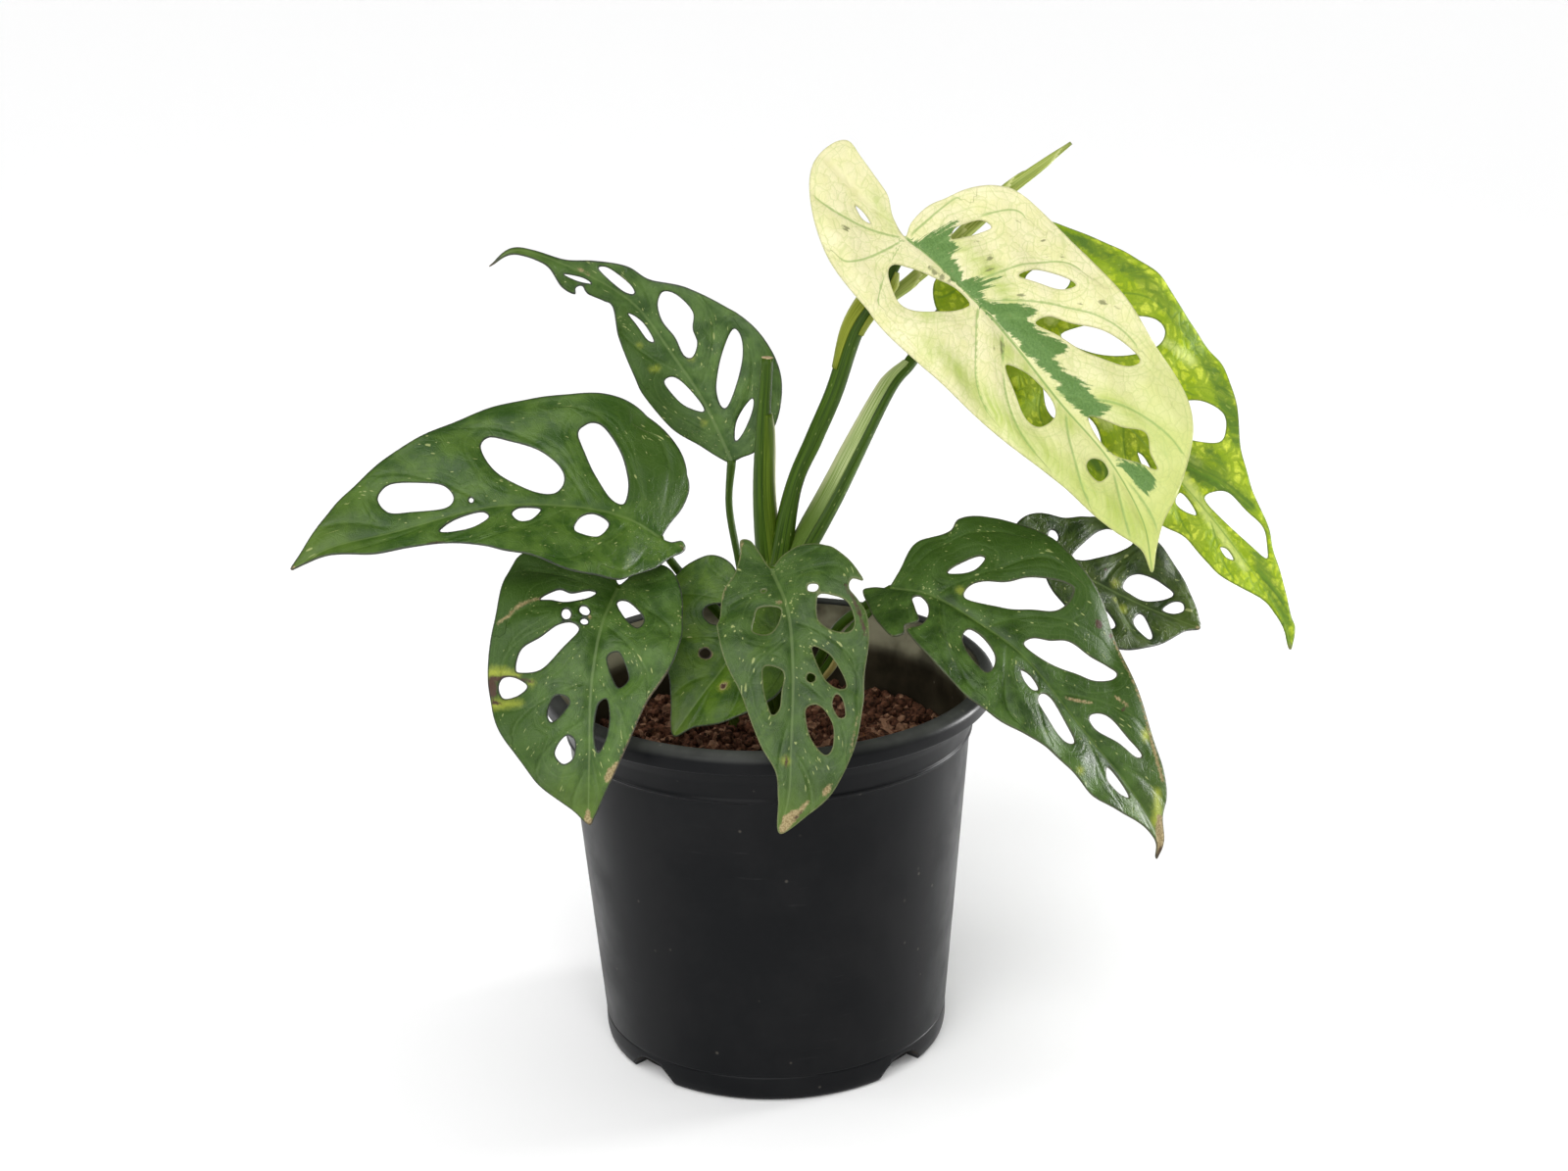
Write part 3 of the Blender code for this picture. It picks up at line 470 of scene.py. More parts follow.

# %% [markdown]
# ## Cutting the notches
#
# Each notch is the top of a lying cylinder that is taken out of the foot with a Boolean. It is applied to
# the mesh at once, so the piece is plain geometry. The faces that look to the inside get the dusty look
# with its painted light.

# %% Turn the pot and cut its notches
NOTCH_ANGLES = [-46, 46, 134, 226]
NOTCH_RADIUS = 11.0
NOTCH_SINK = 4.0
NOTCH_DEPTH = 14.0
NOTCH_DISTANCE = 55.0
DUST_HEIGHTS = (3.0, 127.5)
DUST_RADIUS = 20.0


def cut(obj, cutter):
    """Takes the cutter out of the object, for good."""
    change = obj.modifiers.new("cut", "BOOLEAN")
    change.solver = "EXACT"
    change.object = cutter
    bpy.context.view_layer.update()
    old = obj.data
    obj.data = bpy.data.meshes.new_from_object(obj.evaluated_get(bpy.context.evaluated_depsgraph_get()))
    obj.modifiers.clear()
    bpy.data.meshes.remove(old)
    bpy.data.objects.remove(cutter)


pot = turned("pot_fine", pot_profile, POT_SEGMENTS, (BLACK_PLASTIC, DUST_AND_PAINTED_LIGHT_PLASTIC))
for angle in NOTCH_ANGLES:
    way = math.radians(angle)
    outward = Vector((math.sin(way), -math.cos(way), 0))
    bpy.ops.mesh.primitive_cylinder_add(vertices=48, radius=NOTCH_RADIUS * MM, depth=NOTCH_DEPTH * MM)
    cutter = bpy.context.object
    cutter.rotation_euler = outward.to_track_quat("Z", "Y").to_euler()
    cutter.location = (outward * NOTCH_DISTANCE - Vector((0, 0, NOTCH_SINK))) * MM
    cut(pot, cutter)
for face in pot.data.polygons:
    x, y, z = face.center / MM
    outside = face.normal.dot(Vector((x, y, 0)).normalized()) > 0.05
    within = DUST_HEIGHTS[0] < z < DUST_HEIGHTS[1] and math.hypot(x, y) > DUST_RADIUS
    face.material_index = int(within and not outside)
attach(pot, "root")
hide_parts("pot")
print("pot faces:", len(pot.data.polygons))

# %% [markdown]
# ## The soil
#
# Under its crumbs the soil is a plug that fills the pot down to its floor. Its side follows the inside
# of the wall. Its top has slow heaps and hollows, which two products of sine waves give, and on them a
# fine roughness from a seeded random draw, so that each run gives the same soil.

# %% Fill the pot with a plug
SOIL_TOP = 101.0
SOIL_RADIUS = 63.7
SOIL_SIDE = [(53.8, 2.3), (55.8, 4.0), (56.1, 9.2), (SOIL_RADIUS, 99.0)]
SOIL_SEGMENTS = 180
SOIL_RINGS = 46
SOIL_HEAPS = 0.9
SOIL_ROUGHNESS = 1.5
SOIL_SEED = 41


def soil_height(x, y):
    """Slow hollows and heaps of the soil's top, in mm."""
    rough = math.sin(0.31 * x + 1.3) * math.sin(0.27 * y + 0.4)
    rough += 0.6 * math.sin(0.62 * x - 0.35 * y) * math.sin(0.49 * y + 0.21 * x + 2.0)
    return SOIL_TOP + SOIL_HEAPS * rough


def ring_faces(rows, sides):
    """Quads between the rings of a tube, and a cap at each end."""
    i = np.arange(sides)
    j = (i + 1) % sides
    faces = []
    for k in range(rows - 1):
        low, high = k * sides, (k + 1) * sides
        faces += np.stack([low + i, low + j, high + j, high + i], -1).tolist()
    faces.append(tuple(range(sides))[::-1])
    faces.append(tuple(range((rows - 1) * sides, rows * sides)))
    return faces


def soil_plug(draw):
    """Points and faces of the plug's side and its rough top."""
    rings = [(radius, height, False) for radius, height in SOIL_SIDE]
    rings += [(SOIL_RADIUS * k / SOIL_RINGS, 0, True) for k in range(SOIL_RINGS, 0, -1)]
    points = []
    for radius, height, rough in rings:
        for i in range(SOIL_SEGMENTS):
            way = 2 * math.pi * i / SOIL_SEGMENTS
            x, y = radius * math.cos(way), radius * math.sin(way)
            if rough:
                height = soil_height(x, y) - draw.uniform(0, SOIL_ROUGHNESS)
            points.append((x, y, height))
    return points, ring_faces(len(rings), SOIL_SEGMENTS)


draw = random.Random(SOIL_SEED)
soil_points, soil_faces = soil_plug(draw)
print("plug faces:", len(soil_faces))

# %% [markdown]
# ## The colour of the soil
#
# Coco fibre and bark are red-brown, and each crumb has its own shade. Cell noise gives some of them a
# pale, dry colour. Near the floor the soil is painted almost black as painted shade, so the notches look
# like openings.

# %% Soil material
NOTCH_SHADE_HEIGHT = (8 * MM, 14 * MM)


def soil_look():
    look, graph, shader = new_look("coco soil", 0.95, specular=0.15)
    spot = graph.spot()
    colour = graph.mix(graph.step(graph.noise(spot, 420, 3, 0.7), 0.35, 0.68), (0.022, 0.009, 0.005),
                       (0.15, 0.062, 0.035))
    cell = graph.cells(spot, 330)
    pale = graph.times(graph.step(graph.split(cell[1])[1], 0.78, 0.9), graph.noise(spot, 900, 2))
    colour = graph.mix(pale, colour, (0.42, 0.235, 0.145))
    # Painted shade: near the floor, seen through the notches, the soil is painted almost black.
    deep = graph.step(graph.split(spot)[2], *NOTCH_SHADE_HEIGHT, 1, 0)
    colour = graph.mix(deep, colour, (0.004, 0.003, 0.002))
    paint(graph, shader, colour)
    add_bump(graph, shader, graph.noise(spot, 1600, 4, 0.8), 0.25 * MM)
    return look


COCO_SOIL = soil_look()
print("soil nodes:", len(COCO_SOIL.node_tree.nodes))

# %% [markdown]
# ## Crumbs
#
# The top of the soil is a bed of loose crumbs, two to five millimetres wide, with dark gaps between
# them. A displaced plane would look like mud, so 1,500 small lumps are scattered over the plug and sunk
# into it. Each lump is one of a few rough balls, turned and stretched by the same random draw, and all
# of them are one mesh with the plug.

# %% Scatter the crumbs
CRUMBS = 1500
CRUMB_SIZE = (0.8, 2.5)
CRUMB_KINDS = 7
CRUMB_MARGIN = 1.4
CRUMB_SINK = 0.75


def crumb(draw):
    """Points and faces of one rough ball about 1 mm in radius."""
    ball = bmesh.new()
    bmesh.ops.create_icosphere(ball, subdivisions=2, radius=1.0)
    for vert in ball.verts:
        vert.co *= draw.uniform(0.72, 1.22)
    points = np.array([vert.co for vert in ball.verts])
    faces = np.array([[vert.index for vert in face.verts] for face in ball.faces])
    ball.free()
    return points, faces


kinds = [crumb(draw) for _ in range(CRUMB_KINDS)]
for _ in range(CRUMBS):
    reach = (SOIL_RADIUS - CRUMB_MARGIN) * math.sqrt(draw.random())
    way = draw.uniform(0, 2 * math.pi)
    x, y = reach * math.cos(way), reach * math.sin(way)
    size = draw.uniform(*CRUMB_SIZE) * (0.75 + 0.5 * draw.random() ** 3)
    shape, ball_faces = kinds[draw.randrange(CRUMB_KINDS)]
    turn = np.array(Euler([draw.uniform(0, 6.28) for _ in range(3)]).to_matrix())
    squash = np.array([draw.uniform(0.8, 1.4), draw.uniform(0.7, 1.1), draw.uniform(0.6, 0.95)])
    place = np.array((x, y, soil_height(x, y) - CRUMB_SINK + draw.uniform(-0.3, 0.8) * size))
    start = len(soil_points)
    soil_points += (place + (shape * squash * size) @ turn.T).tolist()
    soil_faces += (ball_faces + start).tolist()
soil = new_object("soil_fine", np.array(soil_points) * MM, soil_faces, (COCO_SOIL,))
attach(soil, "root")
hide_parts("soil")
print("crumbs:", CRUMBS, "soil faces:", len(soil.data.polygons))

# %% [markdown]
# ## The leaves as numbers
#
# A leaf of this plant is a thin sheet that hangs from its midrib, with holes between its side veins. It
# could be sculpted by hand, but then nothing would say where a vein or a hole is. Here each leaf is a
# flat drawing, measured in mm along the midrib and out to the right of it, and a curved surface that
# the drawing is laid on. These are the same values as in the CAD model, so each new blade lies on its
# CAD blade.
#
# - spine: points of the midrib from the petiole to the tip.
# - face: the way the upper side looks, at shares of the length.
# - fold: how far each half is lifted at the base and the tip, in degrees. The left half comes first.
# - curl: how each half bends on outwards, in degrees per 10 mm.
# - back: how the lobes behind the petiole bend. wave: height, length and phase of the margin's ripple.
# - margin and windows: (along, right) points of the outline and the holes.

# %% Tables of the nine leaves
LEAVES = {}
LEAVES["leaf_back_left"] = dict(
    spine=[(-10, 14, 196), (-19, 18, 216), (-29, 20, 232), (-40, 20, 248), (-55, 14, 260), (-75, 6, 270),
        (-85, 2, 266)],
    face=[(0, (-0.15, -0.95, 0.3)), (1, (-0.2, -0.9, 0.4))],
    fold=((10, 10), (5, 10)), curl=((0, 0), (-4, 0)), back=4, wave=(1.5, 42, 0.1),
    margin=[(116.5, 0), (112, -0.5), (105.5, -1.5), (99, -2), (94, -3), (88, -7), (82.5, -7.5), (83, -5.5),
        (81, -4), (78, -5.5), (71.5, -5), (67.5, -5), (58.5, -10.5), (43.5, -14), (34.5, -15.5),
        (19.5, -13.5), (9, -7), (3, -3), (0.5, -0.5), (0.5, 3.5), (0.5, 9), (4, 16), (10.5, 22),
        (18.5, 26.5), (26.5, 28), (35, 27), (46.5, 22.5), (55.5, 16.5), (63, 9.5), (71, 8.5), (81, 5),
        (90, 1.5), (100.5, 1), (108, 1)],
    windows=[
        [(56.5, 5.5), (58.5, 9.5), (55.5, 12.5), (49, 13.5), (44.5, 10.5), (39.5, 9), (36.5, 5), (38.5, 3),
         (45, 4), (51.5, 3.5)],
        [(36.5, 21), (33.5, 22), (28.5, 19), (22, 12), (17.5, 6), (19.5, 4.5), (25, 6.5), (32, 13.5)],
        [(16.5, 15), (13, 13), (8, 7.5), (6.5, 4), (11.5, 6.5), (15, 11)],
        [(34.5, -7.5), (35, -4.5), (31, -2.5), (21, -1), (20, -2.5), (25.5, -6.5)],
        [(61, -3.5), (55, -2), (48, -2.5), (49.5, -4), (55, -4)],
        [(78.5, 3.5), (76.5, 5), (71.5, 4.8), (66, 4), (64, 2.5), (67, 1.2), (73, 1.8)],
        [(88.5, -3), (82, -1.5), (78.5, -2), (83.5, -3.2)],
    ],
)
LEAVES["leaf_left"] = dict(
    spine=[(-32, -30, 185), (-43, -33, 193), (-59, -36, 198), (-84, -41, 200), (-114, -46, 194),
        (-132, -50, 191), (-145, -52, 185)],
    face=[(0, (0, -0.6, 0.8)), (1, (-0.1, -0.6, 0.8))],
    fold=((12, 10), (12, 15)), curl=((0, 0), (0, 0)), back=3, wave=(2, 46, 0.2),
    margin=[(121, 0), (116.5, -1), (108.5, -2.5), (96.5, -7), (84.5, -8), (72.5, -11), (61, -16),
        (50.5, -23.5), (36, -27), (24.5, -28), (14, -26.5), (2.5, -15.5), (-4, -6), (-8.5, 0), (-6.5, 2.5),
        (-3, 0.3), (0, 0.5), (-0.5, 5), (-3, 14), (-1.5, 21.5), (6.5, 30.5), (12, 36), (18.5, 38.5),
        (24.5, 38.5), (33, 36.5), (43, 36.5), (51.5, 35.5), (61.5, 31.5), (74.5, 27), (87, 23), (99, 16.5),
        (106, 10.5), (114.5, 4)],
    windows=[
        [(89.5, 12.5), (84.5, 15.5), (75, 13.5), (69, 10.5), (67, 5.5), (70.5, 3), (80.5, 5), (87.5, 7)],
        [(56.5, 21.5), (54, 24.5), (49, 22.5), (41.5, 18.5), (35.5, 13), (34, 8), (37, 4), (43.5, 4.5),
         (51.5, 9.5), (55.5, 15.5)],
        [(30, 23), (28.5, 27), (25.5, 28), (22, 25), (18.5, 19.5), (15.5, 12), (15.5, 4.5), (20, 5),
         (25.5, 12.5)], [(73.5, -5), (68, -2), (60, -1.2), (58, -4.5), (63.5, -7.5), (70.5, -7)],
        [(50.5, -4), (47.5, -1.2), (41.5, -2), (44.5, -7), (48.5, -7.5)],
        [(31, -8.5), (28.5, -4), (24, -2), (19.5, -5), (23, -11.5), (30, -11)],
    ],
)
LEAVES["leaf_front_left"] = dict(
    spine=[(-46, -38, 172), (-51, -50, 163), (-54, -61, 148), (-55, -69, 129), (-56, -73, 107)],
    face=[(0, (-0.1, -0.75, 0.65)), (0.4, (-0.15, -0.93, 0.35)), (1, (-0.15, -0.97, 0.2))],
    fold=((4, 12), (10, 12)), curl=((-3, 0), (-6, 0)), back=-14, wave=(1.5, 40, 0.5),
    margin=[(78, 0), (73, 5.5), (65.5, 15.5), (57, 22), (48.5, 28), (39.5, 31.5), (33, 33), (24, 33),
        (16.5, 33), (6.5, 35), (-4, 34.5), (-9, 29.5), (-11, 20.5), (-9.5, 11.5), (-5.5, 4), (-1, 0),
        (-5, -2.5), (-9, -5.5), (-12, -9), (-10, -14.5), (-4, -19.5), (4, -23), (12, -25.3), (21.5, -25.5),
        (28.5, -24), (37.5, -19.5), (48, -14.5), (57.5, -10), (66.5, -6), (75.5, -2)],
    windows=[
        [(12, 21), (7.5, 17), (7.5, 12.5), (5, 8), (5, 5.5), (8, 7.5), (11, 13), (11.5, 17.5)],
        [(31.5, 24), (26, 23), (22, 17.5), (18, 13), (16.5, 9), (18.5, 6.5), (24.5, 10.5), (31, 16),
         (32.5, 22)], [(37, 29), (34.5, 28), (34, 24.5), (36, 20), (38.5, 22.5), (39.5, 27)],
        [(43, 13), (38.5, 11), (38.5, 7.5), (40.5, 6.5), (44.5, 9.5), (46, 12)],
        [(56, 10.5), (52, 9), (50, 6.5), (52, 4.5), (57, 5), (59, 8)],
        [(6, -2), (4.5, -5), (8, -11), (11.5, -12.5), (14, -11), (11, -6.5)],
        [(25.5, -4), (23.5, -7), (26.5, -9.5), (32, -11.5), (35, -9), (32, -6.5)],
        [(44.5, -1.8), (40, -3), (39, -5.5), (44, -6.5), (50.5, -5.5), (55, -3), (50.5, -1.5)],
        [(13.5, 12.8), (13, 11.5), (14, 10.2), (15.5, 10.2), (16, 11.6), (15, 12.8)],
        [(11, 8), (10.6, 6.5), (11.6, 5), (13, 5), (13.4, 6.5), (12.5, 8)],
    ],
)
LEAVES["leaf_inner"] = dict(
    spine=[(-4, -28, 165), (-11, -38, 149), (-21, -47, 138), (-30, -52, 127)],
    face=[(0, (-0.3, -0.75, 0.6)), (1, (-0.3, -0.85, 0.4))],
    fold=((10, 14), (10, 14)), curl=((-2, 0), (-3, 0)), back=4, wave=(1.2, 30, 0.3),
    margin=[(52.5, 0), (44, 7), (38, 12), (33, 18.5), (20.5, 25), (6, 27), (-1.5, 25.5), (-7, 20.5),
        (-9, 16), (-8, 10.5), (-4, 5.5), (0, 0.5), (-3.5, -3.5), (-0.5, -11.5), (7, -18.5), (16.5, -22),
        (25, -22.5), (30, -20.5), (35, -17), (41, -11.5), (46.5, -4.5)],
    windows=[
        [(10.5, 13.5), (7.5, 13), (5.5, 9), (7, 5), (11.5, 5.5), (13, 10)],
        [(23, 8.5), (22.8, 6.8), (24, 5.8), (25.8, 6), (26.4, 7.8), (25.2, 9.2)],
    ],
)
LEAVES["leaf_front"] = dict(
    spine=[(2, -52, 182), (7, -65, 172), (8, -77, 156), (7, -87, 138), (6, -92, 124), (3, -94, 112)],
    face=[(0, (0, -0.8, 0.6)), (0.35, (0, -0.93, 0.35)), (1, (0, -0.97, 0.2))],
    fold=((8, 5), (8, 5)), curl=((0, 0), (-6, -4)), back=6, wave=(1.5, 36, 0.0),
    margin=[(85.5, 0), (75, 3), (66.5, 4.5), (59, 9), (51.5, 12.5), (42.5, 16), (32, 20.5), (23, 22),
        (14, 21.5), (3.5, 17), (-1, 11.5), (-7.5, 7.5), (-12, 6), (-11, 3), (-5.5, 1.5), (0, 0), (-2.5, -5),
        (-3.5, -11.5), (0, -18), (8, -22), (13, -24), (15, -24.5), (14, -21.5), (15.5, -19.8), (18, -21.5),
        (21.5, -23.5), (28, -23.5), (38, -21.5), (46.5, -21), (59, -19), (70.5, -13.5), (77.5, -7)],
    windows=[
        [(13, 8.5), (15, 2.5), (18, 2.5), (22.5, 5), (24, 8), (22.5, 11.5), (17.5, 10.5)],
        [(34.5, 8.5), (36, 3), (42.5, 3.5), (47.5, 4), (49.5, 6), (46.5, 7.5), (40.5, 9)],
        [(15, -10), (16, -14.5), (18.5, -18.5), (23.5, -19.5), (25.5, -17), (24, -11.5), (20.5, -8.5)],
        [(29, -6), (30, -9.5), (33, -12.5), (40, -16), (41.5, -14.5), (40, -11), (36.5, -8.5)],
        [(47.5, -4), (46, -7), (48, -10), (52.5, -12.5), (58.5, -12.5), (61, -10.5), (58.5, -7.5),
         (54, -5)], [(43, -13), (44.5, -15), (49, -16), (49.5, -14), (46, -12)],
        [(11.2, -8.5), (12, -10.8), (13.2, -11), (13.8, -9.5), (12.8, -7.6)],
        [(36.7, -4.8), (37.4, -6.6), (39, -6.6), (39.4, -5), (38.2, -4)],
    ],
)
LEAVES["leaf_right"] = dict(
    spine=[(39, -24, 165), (52, -32, 165), (67, -40, 158), (81, -46, 148), (98, -53, 127), (114, -56, 106),
        (122, -56, 91), (122, -56, 83)],
    face=[(0, (0.25, -0.55, 0.8)), (0.5, (0.45, -0.65, 0.6)), (1, (0.5, -0.75, 0.4))],
    fold=((10, 12), (8, 10)), curl=((-2, 0), (-8, -4)), back=3, wave=(2, 48, 0.35),
    margin=[(131.7, 0), (124, 1.5), (116.5, 4), (106, 9.5), (95, 13.5), (84.5, 14.5), (76.5, 17),
        (64, 22.5), (52, 25), (37, 25), (28, 23), (20.5, 20.2), (17, 17.6), (19.9, 13.5), (19.6, 9),
        (17, 4.8), (12.8, 2.2), (11, 4), (14.6, 8.4), (18.1, 12.2), (15.4, 16.2), (17.2, 20), (13.5, 22),
        (4.5, 16.5), (-3, 9), (-7, 4), (-4.5, 1.5), (0, 0), (1, -6.5), (1.5, -17), (6, -22.5), (10, -27),
        (10.5, -32), (14.5, -38), (21, -42), (31.5, -41.5), (44, -37.5), (52, -35.5), (64, -32),
        (79, -25.5), (97, -18), (108, -13.5), (115, -9.5), (119.5, -4.5), (126, -2)],
    windows=[
        [(16, -10), (17, -16), (20, -21.5), (22, -22), (22, -16.5), (19, -12)],
        [(24.5, -5), (24.5, -11.5), (32.5, -19), (41.5, -25.5), (46.5, -29), (48.5, -29), (49.5, -23),
         (47.5, -17.5), (39.5, -11), (30, -6)],
        [(49, -3), (49, -6.5), (53, -10.5), (57, -15.5), (65, -18.5), (73.5, -23), (75, -20), (71.5, -14),
         (65.5, -10), (56.5, -4.5)], [(53.5, 5), (57, 3.5), (61.5, 4.5), (60.5, 7), (56.5, 7)],
        [(64.5, 8.5), (63.5, 4.5), (67, 2.5), (75.5, 4), (81, 6), (79, 9), (71.5, 9.5)],
        [(79, -4.5), (80.5, -8), (85, -10), (93, -10), (100, -10.5), (98.5, -8), (91.5, -6.5),
         (83.5, -3.5)], [(94.5, 3), (95.5, 1.5), (102, 1.5), (106.5, 2.5), (103, 5), (97.5, 5.5)],
        [(33, 9.5), (32.5, 5), (37, 4.5), (43.5, 7.5), (46, 11.5), (45, 15), (38.5, 13.5)],
    ],
)
LEAVES["leaf_back_right"] = dict(
    spine=[(97, 34, 153), (111, 36, 145), (128, 38, 135), (149, 40, 125)],
    face=[(0, (0.1, -0.6, 0.8)), (1, (0.2, -0.7, 0.7))],
    fold=((6, 8), (6, 8)), curl=((0, 0), (0, 0)), back=3, wave=(1.5, 38, 0.6),
    margin=[(59.5, 0), (54, 3.5), (46.5, 11.5), (37, 19), (28.5, 22.5), (17.5, 24.5), (9, 19), (2.5, 13.5),
        (-1, 9), (-2.5, 4.5), (-0.5, 0), (-6, 1), (-12.5, 1), (-16.5, -3), (-15, -9.5), (-9, -15), (1, -18),
        (8, -22), (14, -25), (22, -26), (32, -26), (39.5, -24), (49, -16), (55, -9), (58, -4)],
    windows=[
        [(7, -5.5), (11.5, -14.5), (15, -19.5), (19, -21.5), (26.5, -20.5), (23, -15), (15, -8), (10, -5)],
        [(28, -3), (29, -7.5), (33.5, -11), (40.5, -11), (47, -9), (44.5, -5.5), (37.5, -2), (31.5, -2)],
        [(44.5, -1.5), (47.5, -5.5), (51, -6.5), (52, -4), (48.5, -1.5)],
        [(34.5, 8), (36, 4), (38.5, 4.5), (42, 10), (40.5, 13), (36.5, 11)],
        [(19.5, 11), (23, 9), (27.5, 13.5), (25.5, 16.5), (21, 14.5)],
        [(-3.5, -8.5), (-3, -11), (-1, -11.7), (0.5, -10.2), (0.2, -8.2), (-1.8, -7.4)],
    ],
)
LEAVES["leaf_cream"] = dict(
    spine=[(47, 2, 272), (57, -2, 264), (75, -10, 246), (93, -20, 224), (108, -28, 207), (118, -34, 189),
        (121, -36, 174)],
    face=[(0, (0.3, -0.75, 0.6)), (0.5, (0.35, -0.85, 0.4)), (1, (0.35, -0.9, 0.25))],
    fold=((5, 10), (5, 10)), curl=((0, 0), (-3, -4)), back=5, wave=(2, 52, 0.15),
    margin=[(133, 0), (125.5, 2.5), (116.5, 10), (102, 16.5), (82, 21), (63.5, 25), (44, 29.5),
        (22.5, 30.5), (5.5, 29), (-10.5, 26), (-23.5, 20), (-32, 12.5), (-37.5, 5), (-38, -4.5), (-35, -10),
        (-28.5, -9.5), (-21, -8.5), (-14, -7), (-8, -2.5), (-1, 0), (-2.5, -5.5), (-2, -14), (2.5, -23),
        (9, -32.5), (14.5, -37), (27, -39.5), (38.5, -39.5), (51.5, -38), (66.5, -37), (82, -36.5),
        (91, -34), (99, -29), (106, -22), (112.5, -14.5), (118.5, -6.5), (124.5, -3)],
    windows=[
        [(4, 15.5), (2.5, 11), (7.5, 8), (15.5, 4.5), (22.5, 1.8), (29, 2.5), (26.5, 9.5), (20.5, 17),
         (13.5, 20)], [(10, -9.5), (9, -14), (12, -21), (16, -22), (14, -16.5), (11.5, -11)],
        [(32.5, -16.5), (33, -20), (35.5, -24.5), (41, -28), (45, -28.5), (43, -24), (37.5, -19.5)],
        [(46.5, -10), (47, -15), (52.5, -19), (60.5, -25.5), (70, -29.5), (77, -30), (76, -25.5),
         (69.5, -21), (62, -16.5), (53.5, -13.5)],
        [(51.5, 7.5), (57, 3), (64, 1.5), (70, 2), (73.5, 5), (73, 11), (68.5, 13), (60.5, 10.5)],
        [(80.5, -3.5), (82, -6), (89, -10), (94, -15), (99.5, -12.5), (104.5, -11.5), (100.5, -8),
         (94.5, -2.5), (87.5, -1.5)], [(91.5, 8), (91, 4.5), (94, 2), (98, 3), (98.5, 7.5), (94.5, 9)],
        [(-19, 4), (-15.5, 3.6), (-11.5, 5), (-14.5, 6)],
    ],
)
LEAVES["leaf_lime"] = dict(
    spine=[(66, 30, 250), (86, 27, 235), (110, 22, 214), (138, 14, 185), (156, 8, 163), (170, 4, 142),
        (173, 2, 131)],
    face=[(0, (0.3, -0.7, 0.65)), (0.5, (0.4, -0.8, 0.45)), (1, (0.4, -0.85, 0.3))],
    fold=((5, 10), (5, 10)), curl=((0, 0), (-3, -3)), back=5, wave=(2.5, 58, 0.4),
    margin=[(164.9, 0), (152.5, 1.5), (144.5, 3), (132.5, 10), (122.5, 12), (111.5, 13), (103.5, 16.5),
        (90, 23), (74.5, 27), (54, 27.5), (33.5, 25.5), (14.5, 20.5), (2.5, 16), (-4, 12.5), (-8, 6),
        (-7, -0.5), (-2, -1.5), (-3, -10.5), (-0.5, -23), (6, -34.5), (14, -42), (23.5, -46), (35, -47),
        (46.5, -45.5), (57, -43.5), (68.5, -43), (80.5, -42), (90.5, -35.5), (101.5, -24), (114, -17.5),
        (126, -14), (140, -8.5), (153.5, -3.5), (158.5, -3)],
    windows=[
        [(36, -7.5), (40.5, -17), (48, -27.5), (55, -33.5), (60, -33.5), (61, -27.5), (56, -17.5),
         (47.5, -10)],
        [(78, -13.5), (78.5, -20), (83.5, -27), (90.5, -28.5), (95, -24.5), (96.5, -19), (89.5, -12.5),
         (83, -9.5)],
        [(106.5, -2.5), (107.5, -7.5), (111, -10.5), (118, -11), (126.5, -12), (135, -7.5), (128.5, -5),
         (115, -2.5)], [(100.5, 7.5), (99.5, 3), (104, 2.5), (108.5, 4), (104.5, 7)],
        [(122, 4.8), (124, 2.8), (128, 3.2), (125.5, 5.2)],
        [(16.5, -15.5), (17, -22), (21, -28.5), (27, -28), (28, -22), (23, -15)],
        [(40.5, 12), (41.5, 9), (47.5, 10), (51.5, 17.5), (46.5, 16.5)],
        [(59, 9), (63, 9), (69, 12.5), (64.5, 13)], [(80, 5), (82.5, 4), (87.5, 5.5), (84.5, 7)],
    ],
)

# %% [markdown]
# ## Side veins
#
# The side veins leave the midrib steeply, pass between two windows, and then swing forward until they
# run along the margin. A quarter of a sine wave has that shape, so a vein needs only two numbers: where
# it leaves the midrib and how far up the leaf it ends. Two numbers below the first row reach back into
# the lobes behind the petiole.

# %% Where each side vein starts and ends, left half first
SIDE_VEINS = {
    "leaf_back_left": (
        [(1, 14), (8, 36), (33, 58), (60, 86)],
        [(1, 16), (8, 34), (26, 48), (52, 70), (74, 95)],
    ),
    "leaf_left": (
        [(0, -2), (2, 16), (12, 38), (32, 62), (50, 72), (74, 104)],
        [(0, -2), (2, 12), (8, 30), (26, 58), (58, 88), (86, 108)],
    ),
    "leaf_front_left": (
        [(0, -9), (2, 12), (14, 34), (30, 50), (56, 71)],
        [(0, -9), (2, 3), (9, 19), (12, 31), (33, 50), (45, 62), (60, 73)],
    ),
    "leaf_inner": ([(0, -2), (5, 18), (18, 38), (32, 47)], [(0, -7), (3, 6), (14, 28), (28, 42)]),
    "leaf_front": ([(0, 0), (4, 12), (20, 36), (37, 58), (60, 76)], [(0, -8), (6, 8), (25, 42), (50, 68)]),
    "leaf_right": (
        [(0, 10), (3, 24), (17, 42), (36, 68), (66, 94), (94, 116)],
        [(0, -4), (8, 24), (20, 46), (44, 64), (58, 76), (82, 108), (106, 122)],
    ),
    "leaf_back_right": ([(0, -12), (2, 3), (20, 34), (41, 53)], [(0, 1), (12, 24), (25, 41), (40, 54)]),
    "leaf_cream": (
        [(0, 4), (5, 20), (24, 42), (30, 72), (68, 104), (100, 122)],
        [(0, -30), (0, -10), (-1, 8), (31, 62), (42, 78), (74, 102), (96, 120)],
    ),
    "leaf_lime": (
        [(0, 2), (4, 20), (24, 54), (56, 92), (86, 124), (130, 152)],
        [(0, -5), (8, 24), (34, 54), (50, 72), (70, 94), (92, 112), (112, 134), (132, 150)],
    ),
}
print("side veins:", sum(len(half) for pair in SIDE_VEINS.values() for half in pair))

# %% [markdown]
# ## From the drawing to the surface
#
# A Catmull-Rom curve passes through each of its points, so a few measured points are enough for a
# midrib or an outline. It serves the stems too.

